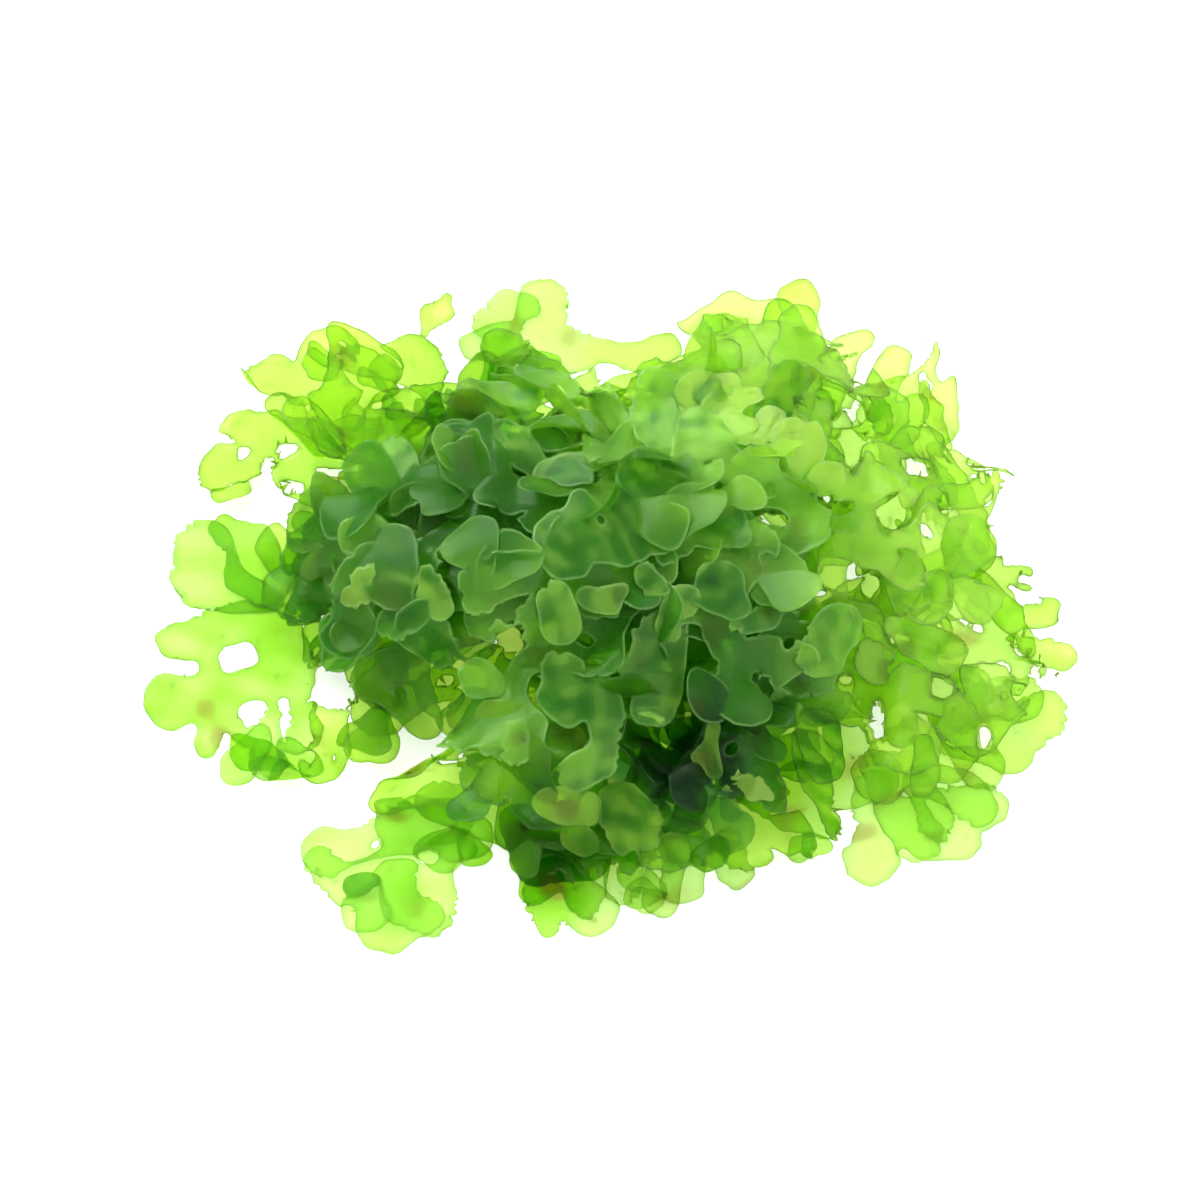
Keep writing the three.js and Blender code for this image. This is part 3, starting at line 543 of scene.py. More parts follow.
# Sheets that lie flat, drawn as the photograph shows them. Each layer is a set of strokes,
# chains of stations (pixel across, pixel down, half width in pixels), with holes cut out
# the same way, at a height over the table in mm. A tone of 0 is a light green, 1 a deep one,
# less than 0 fainter still, and more than 1 a painted shade as dark as a hollow
drawing = {
    "step": 3.8,
    "border": 10,
    "blend": 9.0,
    "holeRagged": 0.2,
    "holeLength": 13,
    "calm": 0.3,
}
drawnThalli = {
    "thallus_left_spreading": (
        {"height": 0.14, "tone": 0.45, "strokes": (
            ((173, 640, 18), (196, 639, 20), (218, 628, 20), (246, 622, 21), (275, 640, 28), (292, 668, 24)),
            ((208, 640, 12), (208, 690, 12)),
            ((172, 702, 29), (205, 695, 20), (243, 690, 17), (272, 676, 22)),
            ((214, 706, 14), (206, 746, 13)),
            ((222, 706, 14), (248, 735, 12), (262, 752, 14)),
            ((271, 690, 12), (270, 735, 11), (266, 765, 17)),
            ((300, 668, 13), (298, 700, 13), (306, 732, 15), (296, 742, 13))),
         "holes": (
            ((230, 658, 11.5), (246, 655, 13)), ((185, 669, 3.5), (193, 667, 6.5)),
            ((243, 713, 6.5), (254, 710, 8.5), (252, 720, 5)), ((283, 699, 3.6), (283, 716, 1.2)),
            ((283, 716, 1.4), (284, 742, 2.6)))},
        {"height": 0.42, "tone": 0.35, "strokes": (
            ((238, 766, 20), (256, 744, 14), (262, 732, 10)),)},
        {"height": 0.62, "tone": 0.75, "strokes": (
            ((311, 765, 14), (290, 753, 12), (286, 745, 9)),)},
    ),
    "thallus_front_tongue": (
        {"height": 0.14, "tone": 0.2, "strokes": (
            ((322, 866, 20), (345, 884, 20), (385, 880, 28), (388, 922, 33)),
            ((388, 900, 30), (428, 905, 31), (420, 860, 30), (440, 832, 30), (470, 836, 24)),
            ((420, 850, 30), (398, 822, 22), (384, 806, 9))),
         "holes": (((423, 858, 6.5), (434, 858, 6.5)),)},
        {"height": 0.4, "tone": 0.15, "strokes": (
            ((328, 852, 27), (356, 846, 15), (384, 836, 20), (412, 826, 26), (450, 822, 22)),),
         "holes": (((374, 846, 3.2), (378, 843, 3.4)),)},
        {"height": 0.66, "tone": 0.45, "strokes": (((436, 800, 22), (478, 812, 24), (512, 830, 20)),)},
    ),
    "thallus_left_pale": (
        {"height": 0.14, "tone": 0.35, "strokes": (
            ((203, 552, 33), (206, 574, 35), (236, 592, 20), (270, 600, 14)),
            ((190, 590, 14), (205, 580, 20)))},
        {"height": 0.42, "tone": 0.6, "strokes": (
            ((222, 530, 15), (252, 548, 24), (272, 585, 22)), ((237, 577, 14), (262, 590, 18)))},
    ),
    "thallus_front_tongue_upper": (
        {"height": 0.7, "tone": 0.3, "strokes": (
            ((398, 878, 20), (400, 905, 18), (425, 916, 21)), ((380, 872, 8), (412, 866, 8)))},
    ),
    "thallus_front_left_of_middle": (
        {"height": 0.14, "tone": 0.15, "strokes": (
            ((560, 850, 20), (560, 880, 26), (590, 914, 22), (600, 910, 20)),
            ((560, 880, 24), (542, 900, 20), (548, 928, 11)))},
        {"height": 0.4, "tone": 0.35, "strokes": (
            ((600, 840, 16), (588, 870, 18), (585, 898, 21)),
            ((588, 862, 15), (540, 880, 18), (532, 896, 13)))},
        {"height": 0.66, "tone": 0.3, "strokes": (((625, 846, 16), (622, 886, 22)),)},
        {"height": 0.9, "tone": 0.9, "strokes": (
            ((617, 762, 24), (612, 800, 24), (600, 840, 18)),
            ((518, 822, 20), (540, 858, 26), (590, 862, 20)))},
    ),
    "thallus_front_right_of_middle": (
        {"height": 0.14, "tone": 0.2, "strokes": (
            ((672, 840, 15), (664, 870, 18), (661, 899, 20)),
            ((678, 850, 15), (728, 852, 16), (736, 870, 20)))},
        {"height": 0.4, "tone": 0.3, "strokes": (((690, 830, 16), (686, 860, 19), (682, 882, 23)),)},
    ),
    "thallus_front_right": (
        {"height": 0.14, "tone": 0.1, "strokes": (
            ((875, 790, 22), (872, 830, 26), (871, 856, 30)),
            ((890, 812, 22), (930, 834, 24), (957, 838, 24)),
            ((930, 812, 24), (975, 806, 22), (986, 806, 23)))},
        {"height": 0.4, "tone": 0.3, "strokes": (
            ((880, 770, 20), (900, 812, 22), (919, 838, 27)),
            ((930, 780, 18), (962, 792, 20), (977, 806, 22)))},
        {"height": 0.68, "tone": 0.4, "strokes": (((915, 780, 14), (930, 804, 14), (937, 823, 20)),)},
        {"height": 0.9, "tone": 0.6, "strokes": (
            ((745, 780, 24), (790, 808, 22), (830, 830, 13)),
            ((800, 780, 22), (850, 790, 20), (880, 780, 20)),
            ((846, 732, 24), (862, 765, 20), (880, 785, 18)))},
    ),
    "thallus_right_pale": (
        {"height": 0.14, "tone": 0.05, "strokes": (
            ((950, 735, 22), (1000, 742, 24), (1044, 716, 27)), ((1000, 745, 22), (1012, 755, 20))),
         "holes": (((982, 727, 5), (987, 745, 6)),)},
        {"height": 0.42, "tone": 0.0, "strokes": (
            ((920, 690, 18), (965, 700, 19), (1000, 700, 21), (1019, 699, 25)),
            ((950, 720, 18), (972, 752, 20), (982, 768, 24))),
         "holes": (((982, 728, 5), (986, 742, 5)),)},
    ),
    "thallus_back_pale": (
        {"height": 0.14, "tone": 0.0, "strokes": (
            ((543, 304, 28), (536, 330, 21), (515, 362, 24), (510, 400, 24)),
            ((502, 338, 17), (474, 346, 15)),
            ((535, 332, 18), (572, 350, 20), (606, 355, 14), (640, 357, 13), (666, 347, 16)))},
        {"height": 0.42, "tone": 0.25, "strokes": (
            ((484, 324, 15), (508, 309, 18), (526, 308, 15)),
            ((498, 318, 15), (506, 350, 20), (500, 388, 20)))},
    ),
}


# Lobed leaves that grow on the clump's sheets, drawn the same way: those with a height are low
# at the hem, and the others are draped over what is outermost
draping = {
    "lift": 1.1,
    "mostSlope": 0.75,
    "follow": 0.4,
    "tilt": 0.14,
    "cell": 12,
    "calm": 0.4,
    "mottle": 0.26,
    "mottleLength": 2.3,
    "waver": 1.7,
    "waverLength": 34,
}
drapedLeaves = {
    "thallus_top_01": (
        {"tone": 0.66, "strokes": (
            ((561, 536, 28), (566, 552, 30)),
            ((578, 500, 11), (588, 522, 17), (612, 538, 26), (650, 536, 24)),
            ((640, 476, 25), (640, 510, 24), (634, 540, 22)), ((675, 486, 17), (655, 500, 18)))},
        {"tone": 0.18, "strokes": (((555, 600, 20), (560, 622, 22)),)},
    ),
    "thallus_top_02": (
        {"tone": 0.2, "strokes": (
            ((700, 430, 22), (690, 455, 20)), ((700, 430, 22), (728, 465, 18), (735, 480, 14)))},
        {"tone": 0.15, "strokes": (((655, 385, 20), (655, 420, 24), (660, 440, 16)),)},
    ),
    "thallus_crown_01": (
        {"tone": 0.6, "strokes": (((668, 545, 20), (700, 532, 18), (728, 526, 25)),)},
        {"tone": 0.83, "strokes": (((742, 626, 13), (768, 614, 16)),)},
        {"tone": 0.25, "strokes": (((838, 625, 24), (820, 652, 26)),)},
    ),
    "thallus_crown_02": (
        {"tone": 0.66, "strokes": (
            ((672, 622, 18), (658, 648, 32), (655, 705, 24)), ((628, 668, 13), (650, 662, 20)))},
        {"tone": 0.98, "strokes": (((720, 588, 30), (732, 602, 20)),)},
        {"tone": 0.65, "strokes": (((648, 580, 17), (654, 586, 17)),)},
        {"tone": 0.35, "strokes": (((686, 598, 16), (670, 622, 18)),)},
    ),
    "thallus_crown_03": (
        {"tone": 0.63, "strokes": (
            ((560, 672, 23), (562, 700, 22), (570, 716, 12)),
            ((562, 690, 20), (597, 694, 20), (609, 724, 17), (600, 760, 18), (575, 775, 21)))},
        {"tone": 0.42, "strokes": (((590, 600, 14), (612, 598, 13), (624, 590, 6)),)},
        {"tone": 0.3, "strokes": (((515, 730, 15), (518, 752, 16)),)},
    ),
    "thallus_crown_04": (
        {"tone": 0.77, "strokes": (((388, 552, 30), (392, 585, 26)), ((360, 560, 18), (380, 575, 20)))},
        {"tone": 0.9, "strokes": (((420, 625, 26), (440, 650, 20)),)},
        {"tone": -0.05, "strokes": (((358, 592, 17), (364, 575, 13)),)},
        {"tone": 0.18, "strokes": (((427, 578, 15), (436, 600, 17), (446, 612, 10)),)},
    ),
    "thallus_crown_05": (
        {"tone": 0.38, "strokes": (((396, 458, 24), (400, 485, 27)),)},
        {"tone": -0.4, "strokes": (((342, 494, 15), (362, 492, 15)),)},
    ),
    "thallus_crown_06": (
        {"tone": 0.55, "strokes": (((545, 478, 12), (520, 450, 20), (505, 430, 16)),)},
        {"tone": 1.1, "strokes": (((558, 472, 11), (572, 474, 14), (588, 480, 8)),)},
        {"tone": 0.4, "strokes": (((470, 392, 14), (510, 400, 18), (545, 392, 12)),)},
    ),
    "thallus_shoulder_04": (
        {"tone": 0.57, "strokes": (((620, 808, 28), (634, 826, 31)),)},
        {"tone": 0.1, "strokes": (((553, 803, 19), (585, 808, 19)),)},
    ),
    "thallus_slope_04": (
        {"tone": 0.65, "strokes": (((575, 836, 17), (584, 842, 16)),)},
        {"tone": 0.45, "strokes": (((655, 853, 19), (672, 852, 20)),)},
    ),
    "thallus_shoulder_03": (
        {"tone": 0.65, "strokes": (
            ((714, 727, 8), (706, 746, 6), (713, 770, 9)), ((696, 756, 5), (708, 750, 5)))},
        {"tone": 0.2, "strokes": (((724, 788, 7), (731, 815, 10)),)},
        {"tone": -0.5, "strokes": (((738, 777, 7), (752, 787, 12), (766, 797, 7)),)},
    ),
    "thallus_shoulder_02": (
        {"tone": 0.0, "strokes": (((911, 566, 12), (905, 588, 16), (900, 606, 10)),)},
        {"tone": -0.1, "strokes": (((936, 580, 13), (938, 600, 14)),)},
        {"tone": -0.4, "strokes": (((898, 625, 14), (915, 640, 18), (945, 655, 22)),)},
    ),
    "thallus_slope_02": (
        {"tone": -0.5, "strokes": (((868, 652, 15), (876, 670, 15)),)},
        {"tone": 0.15, "strokes": (((925, 745, 13), (926, 790, 14)),)},
    ),
    "thallus_slope_03": (
        {"tone": 0.65, "strokes": (((818, 730, 22), (826, 765, 20)),)},
        {"tone": 0.6, "strokes": (((800, 740, 10), (815, 775, 14), (836, 832, 8)),)},
    ),
    "thallus_slope_12": (
        {"tone": -0.5, "strokes": (((800, 325, 20), (798, 360, 27), (790, 410, 22)),)},
    ),
    "thallus_shoulder_10": (
        {"tone": 0.5, "strokes": (((790, 380, 22), (775, 410, 18), (770, 440, 14)),)},
    ),
    "thallus_slope_11": (
        {"tone": -0.3, "strokes": (((722, 358, 20), (724, 368, 20)),)},
    ),
    "thallus_shoulder_09": (
        {"tone": 0.6, "strokes": (((705, 385, 14), (718, 405, 14)),)},
    ),
    "thallus_slope_08": (
        {"tone": 0.45, "strokes": (((395, 405, 16), (430, 400, 16), (455, 395, 12)),)},
    ),
    "thallus_slope_09": (
        {"tone": 0.35, "strokes": (((498, 346, 20), (512, 350, 20)),)},
    ),
    "thallus_edge_09": (
        {"tone": 0.3, "strokes": (
            ((424, 334, 6), (432, 314, 9), (447, 298, 6)), ((440, 322, 5), (450, 316, 6)))},
    ),
    "thallus_edge_14": (
        {"height": 3.0, "tone": -0.6, "strokes": (
            ((868, 424, 18), (880, 394, 13), (886, 376, 15), (896, 362, 17)),
            ((898, 430, 20), (915, 408, 15)))},
        {"tone": 0.15, "strokes": (((880, 410, 14), (882, 422, 14)),)},
    ),
    "thallus_edge_11": (
        {"height": 2.6, "tone": -0.3, "strokes": (((716, 329, 18), (724, 352, 21)),)},
    ),
    "thallus_edge_12": (
        {"height": 5.5, "tone": 0.15, "strokes": (((781, 319, 20), (792, 345, 22)),)},
    ),
    "thallus_edge_13": (
        {"height": 4.2, "tone": -0.6, "strokes": (
            ((818, 402, 24), (836, 372, 17), (846, 350, 13), (864, 341, 12)),)},
    ),
    "thallus_edge_15": (
        {"height": 6.0, "tone": -0.4, "strokes": (
            ((935, 450, 10), (953, 482, 13), (975, 520, 12), (984, 548, 8)),)},
        {"height": 5.0, "tone": -0.3, "strokes": (((924, 384, 6), (934, 415, 9), (946, 448, 6)),)},
    ),
    "thallus_edge_01": (
        {"height": 1.4, "tone": -0.1, "strokes": (((1015, 640, 10), (1040, 650, 14), (1062, 655, 15)),)},
        {"height": 3.2, "tone": 0.2, "strokes": (
            ((955, 565, 12), (985, 592, 14), (1012, 618, 12), (1030, 650, 8)),)},
    ),
}


def strokeField(places, strokes):
    # Distance outside a smooth union of strokes: each stretch is a cone between two stations
    field = np.full(len(places), 1e3)
    for stroke in strokes:
        stations = np.array(stroke, float)
        for start, end in zip(stations[:-1], stations[1:]):
            line = end[:2] - start[:2]
            share = np.clip((places - start[:2]) @ line / (line @ line), 0, 1)
            gap = np.linalg.norm(places - start[:2] - share[:, None] * line, axis=1)
            cone = gap - start[2] - (end[2] - start[2]) * share
            nearness = np.maximum(drawing["blend"] - np.abs(field - cone), 0) / drawing["blend"]
            field = np.minimum(field, cone) - nearness ** 2 * drawing["blend"] / 4
    return field


def drawnField(places, layer, seed):
    # The field of a layer's strokes less its holes, both a little wavered
    flat = np.pad(places, ((0, 0), (0, 1)))
    field = strokeField(places, layer["strokes"])
    if "height" not in layer:
        field = field + draping["waver"] * waveNoise(flat, draping["waverLength"], seed)
    for hole in layer.get("holes", ()):
        wavering = 1 + drawing["holeRagged"] * waveNoise(flat, drawing["holeLength"], seed, 9)
        field = np.maximum(field, -(strokeField(places, (hole,)) * wavering + 1.5 * (wavering - 1)))
    return field


def drawnShape(layer, seed):
    # A triangle lattice over the drawing, kept where it lies inside, with its margin moved
    # onto the outline, all in pixels
    stations = np.concatenate([np.array(stroke, float) for stroke in layer["strokes"]])
    low = (stations[:, :2] - stations[:, 2:]).min(axis=0) - drawing["border"]
    high = (stations[:, :2] + stations[:, 2:]).max(axis=0) + drawing["border"]
    step = drawing["step"]
    rowStep = step * 0.866  # the height of a triangle with equal sides
    columns, rows = (int(n) for n in np.ceil((high - low) / (step, rowStep)) + 1)
    row, column = np.meshgrid(np.arange(rows), np.arange(columns), indexing="ij")
    places = np.stack([low[0] + (column + 0.5 * (row % 2)) * step, low[1] + row * rowStep], axis=2)
    places = places.reshape(-1, 2)
    corner = (row * columns + column)[:-1, :-1]
    odd = (row % 2)[:-1, :-1].astype(bool)
    a, b, c, d = corner, corner + 1, corner + columns, corner + columns + 1
    first = np.where(odd[..., None], np.stack([a, d, c], axis=2), np.stack([a, b, c], axis=2))
    second = np.where(odd[..., None], np.stack([a, b, d], axis=2), np.stack([b, d, c], axis=2))
    faces = np.concatenate([first.reshape(-1, 3), second.reshape(-1, 3)])[:, ::-1]
    field = drawnField(places, layer, seed)
    faces = faces[field[faces].mean(axis=1) < 0]
    places, faces = trimmed(places, faces)
    start, unusedEnd = rimSides(faces, len(places))
    for unused in range(3):
        edge = places[start]
        nudge = 0.5
        here = drawnField(edge, layer, seed)
        slope = np.stack([drawnField(edge + shift, layer, seed) - here
                          for shift in ((nudge, 0), (0, nudge))], axis=1) / nudge
        slope /= np.maximum(np.linalg.norm(slope, axis=1, keepdims=True), 0.3)
        places[start] = edge - slope * np.clip(here, -step, step)[:, None]
    return places, faces


def drawnSheet(layer, seed):
    # A drawn shape laid on the table where the camera sees its pixels
    places, faces = drawnShape(layer, seed)
    return np.array([tablePlace(place, layer["height"]) for place in places]), faces


def makeClumpSurface():
    # How near the outermost sheet is in each cell of the picture, smoothed by 1-4-6-4-1 sums
    # down and across, twice
    cells = view["frameSize"] // draping["cell"] + 1
    nearest = np.full((cells, cells), -1e3)
    for points, unusedFaces in fallenSheets.values():
        pixels, nearer = seenFrom(points)
        column, row = (pixels // draping["cell"]).astype(int).T
        np.maximum.at(nearest, (row, column), nearer)

    def blurred(field, axis):
        return sum(share * np.roll(field, shift, axis)
                   for shift, share in ((-2, 1), (-1, 4), (0, 6), (1, 4), (2, 1)))

    weight = (nearest > -1e2).astype(float)
    total = nearest * weight
    for axis in (0, 1, 0, 1):
        weight, total = blurred(weight, axis), blurred(total, axis)
    return total / np.maximum(weight, 1e-6)


def drapedSheet(layer, seed):
    # A drawn shape laid on the clump: a plane fitted to the clump's surface behind it, no
    # steeper than the most slope, plus a share of what the surface departs from that plane
    places, faces = drawnShape(layer, seed)
    random = np.random.default_rng(seed)
    spot = places / draping["cell"] - 0.5
    column, row = np.floor(spot).astype(int).T
    right, down = (spot - np.floor(spot)).T
    surface = clumpSurface
    above = surface[row, column] * (1 - right) + surface[row, column + 1] * right
    below = surface[row + 1, column] * (1 - right) + surface[row + 1, column + 1] * right
    depth = above * (1 - down) + below * down
    around = (places - places.mean(axis=0)) / view["pixelsPerMm"]
    fitted = np.linalg.lstsq(np.column_stack([around, np.ones(len(around))]), depth, rcond=None)[0]
    slope = fitted[:2] * min(1, draping["mostSlope"] / max(np.linalg.norm(fitted[:2]), 1e-6))
    slope = slope + random.uniform(-1, 1, 2) * draping["tilt"]
    bumps = depth - around @ fitted[:2] - fitted[2]
    nearer = fitted[2] + around @ slope + bumps * draping["follow"] + draping["lift"]
    return placesAt(places, nearer), faces


# Places painted darker than round about, as shade in the clump's hollows, and places made paler: pixel,
# spread in mm, change of tone
paintedShadeAndTonePlaces = (
    ((692, 775), 5.0, 1.0), ((545, 855), 4.5, 0.9), ((640, 760), 5.0, 0.35), ((478, 520), 4.5, 0.75),
    ((345, 540), 4.0, 0.2), ((400, 660), 6.0, 0.35), ((790, 740), 5.0, 0.4), ((960, 760), 3.5, 0.2),
    ((500, 400), 5.0, 0.2), ((700, 650), 6.0, 0.3), ((620, 620), 4.0, 0.3), ((760, 610), 4.0, 0.25),
    ((430, 420), 4.0, 0.2), ((560, 560), 4.0, 0.15), ((690, 480), 5.0, 0.1), ((680, 390), 6.0, -0.35),
    ((880, 470), 7.0, -0.35), ((450, 770), 5.5, -0.35), ((370, 740), 5.0, -0.3), ((515, 640), 3.0, -0.25),
    ((800, 420), 5.0, -0.4), ((870, 650), 6.0, -0.3), ((590, 400), 3.0, -0.2), ((660, 905), 6.0, -0.2),
    ((900, 850), 7.0, -0.3), ((850, 370), 7.0, -0.55), ((1000, 700), 8.0, -0.4), ((965, 490), 7.0, -0.75),
    ((1010, 620), 6.0, -0.6), ((875, 380), 6.0, -0.6), ((280, 400), 8.0, -0.45), ((545, 300), 5.0, -0.3),
    ((720, 330), 6.0, -0.55), ((800, 370), 5.5, -0.8), ((915, 610), 5.0, -0.35), ((925, 770), 4.0, -0.4),
    ((300, 630), 4.0, 0.4), ((300, 520), 5.0, 0.3), ((400, 770), 5.0, 0.7),
)


def paintedShadeAndTone(points):
    # Sum of bell curves round the places of painted shade and paler tone
    pixels = pixelsOf(points)
    tone = np.zeros(len(points))
    for pixel, spread, change in paintedShadeAndTonePlaces:
        away = np.linalg.norm(pixels - pixel, axis=1) / view["pixelsPerMm"]
        tone += change * np.exp(-away ** 2 / (2 * spread ** 2))
    return tone


# How windows are cut. A sheet is behind one if it fills it and some way round it, and a
# sheet that would lose nearly all of itself is left whole
opening = {
    "behind": 0.3,
    "ragged": 0.3,
    "length": 1.3,
    "waves": 12,
    "seed": 77,
    "leastKept": 0.15,
}
# Gaps between the leaves that show the table, straight through or behind one pale leaf:
# pixel, half width and half height in pixels, turn in radians
clearWindows = (
    ((606, 372), (12, 8), 0.2), ((917, 468), (14, 10), 0.3), ((332, 690), (17, 21), 0.4),
    ((941, 689), (13, 11), 0.5), ((985, 737), (7, 15), 0.2), ((290, 447), (13, 8), 0.0),
    ((846, 831), (7, 13), 0.1), ((1021, 641), (9, 11), 0.3), ((681, 389), (4, 4), 0.0),
    ((878, 720), (5, 18), -0.1), ((1035, 520), (42, 58), 0.0),
    ((1010, 420), (30, 60), 0.4), ((1000, 335), (72, 62), 0.0), ((926, 530), (8, 14), -0.3),
    ((857, 374), (11, 18), 0.2),
)
paleWindows = (
    ((511, 641), (13, 17), -0.4), ((434, 733), (16, 8), 0.2), ((892, 512), (16, 20), 0.5),
    ((443, 553), (11, 6), 0.1), ((584, 639), (12, 6), 0.2), ((871, 586), (12, 13), 0.4),
    ((789, 644), (7, 8), 0.0), ((822, 594), (12, 5), 0.3),
    ((544, 409), (11, 7), -0.5), ((505, 431), (7, 10), 0.0), ((473, 478), (8, 5), 0.0),
    ((766, 558), (8, 6), 0.3), ((900, 640), (10, 8), 0.2), ((640, 352), (12, 7), 0.0),
    ((851, 448), (10, 21), -0.2), ((797, 428), (6, 12), 0.1), ((774, 521), (17, 6), 0.15),
    ((845, 681), (9, 8), 0.5), ((825, 498), (5, 11), 0.1), ((880, 712), (6, 12), 0.1),
)
# Where only the drawn leaves of the clump's hem show
hemPlaces = (
    ((640, 905), (150, 36), 0.0), ((885, 858), (75, 38), -0.15), ((1050, 725), (40, 50), 0.0),
    ((200, 565), (48, 52), 0.0), ((405, 905), (75, 62), 0.0), ((545, 296), (42, 34), 0.0),
    ((215, 700), (95, 95), 0.0), ((882, 340), (52, 34), 0.3), ((1075, 655), (32, 28), 0.0),
)


def windowField(pixels, windows):
    # How far pixels lie outside a set of ellipses, as a share of the ellipse's own size
    field = np.full(len(pixels), 9.0)
    for pixel, halves, turn in windows:
        across, down = (pixels - pixel).T
        turned = np.stack([across * math.cos(turn) + down * math.sin(turn),
                           down * math.cos(turn) - across * math.sin(turn)], axis=1)
        field = np.minimum(field, np.linalg.norm(turned / halves, axis=1) - 1)
    return field


def windowsOf(name):
    # The windows that a thallus leaves open: a pale one keeps the lowest sheet behind it
    if name in drawnThalli:
        return clearWindows
    pale = tuple(window for window in paleWindows if lowestBehind[window] != name)
    return clearWindows + hemPlaces + pale


def lowestSheet(window):
    # The name of the fallen sheet that lies lowest of those that fill a window, which have
    # points in all four quarters round its middle
    heights = {}
    for name, (points, unusedFaces) in fallenSheets.items():
        inside = windowField(pixelsOf(points), (window,)) < opening["behind"]
        quarters = (pixelsOf(points[inside]) > window[0]) @ (1, 2)
        if len(np.unique(quarters)) == 4:
            heights[name] = points[inside, 2].mean()
    return min(heights, key=heights.get, default=None)


def openWindows(points, faces, windows):
    # Leaves out the faces inside the windows' ellipses, whose size wavers a little
    wavering = opening["ragged"] * waveNoise(points, opening["length"], opening["seed"], opening["waves"])
    field = windowField(pixelsOf(points), windows) + wavering
    kept = faces[field[faces].mean(axis=1) > 0]
    if len(kept) <= opening["leastKept"] * len(faces):
        return points, faces
    return trimmed(points, kept)


# One small lobe: how it fans out, its outline, its bend, and how finely it is drawn
leaflet = {
    "most": 3,
    "inside": 0.8,
    "fan": 0.75,
    "fanSpread": 0.35,
    "waves": ((2, 0.08), (3, 0.06), (5, 0.03)),
    "notch": (-0.3, 0.34),
    "notchTurn": (-0.3, 0.3),
    "notchWidth": 0.3,
    "stalk": (0.2, 1.0),
    "stalkWidth": 0.42,
    "fullness": 0.6,
    "overlap": 0.25,
    "bend": (-0.16, 0.2),
    "cup": 0.16,
    "ruffle": 0.16,
    "rings": 8,
    "sides": 22,
    "toneSpread": 0.3,
    "windowShare": 0.06,
    "coverMargin": -4.0,
}

# How each kind of thallus carries its small lobes: groups on the margin and on top
growing = {
    "pale_thallus": {"tone": 0.05, "clusters": 2, "onTop": 0, "radius": (1.4, 2.7), "tilt": (-0.1, 0.2)},
    "bright_thallus": {"tone": 0.25, "clusters": 3, "onTop": 0, "radius": (1.6, 3.0), "tilt": (-0.15, 0.3)},
    "green_thallus": {"tone": 0.42, "clusters": 6, "onTop": 2, "radius": (1.5, 3.0), "tilt": (-0.3, 0.4)},
    "deep_thallus": {"tone": 0.52, "clusters": 6, "onTop": 2, "radius": (1.7, 3.1), "tilt": (-0.3, 0.4)},
    "top_thallus": {"tone": 0.5, "clusters": 7, "onTop": 2, "radius": (1.9, 3.2), "tilt": (-0.3, 0.35)},
}


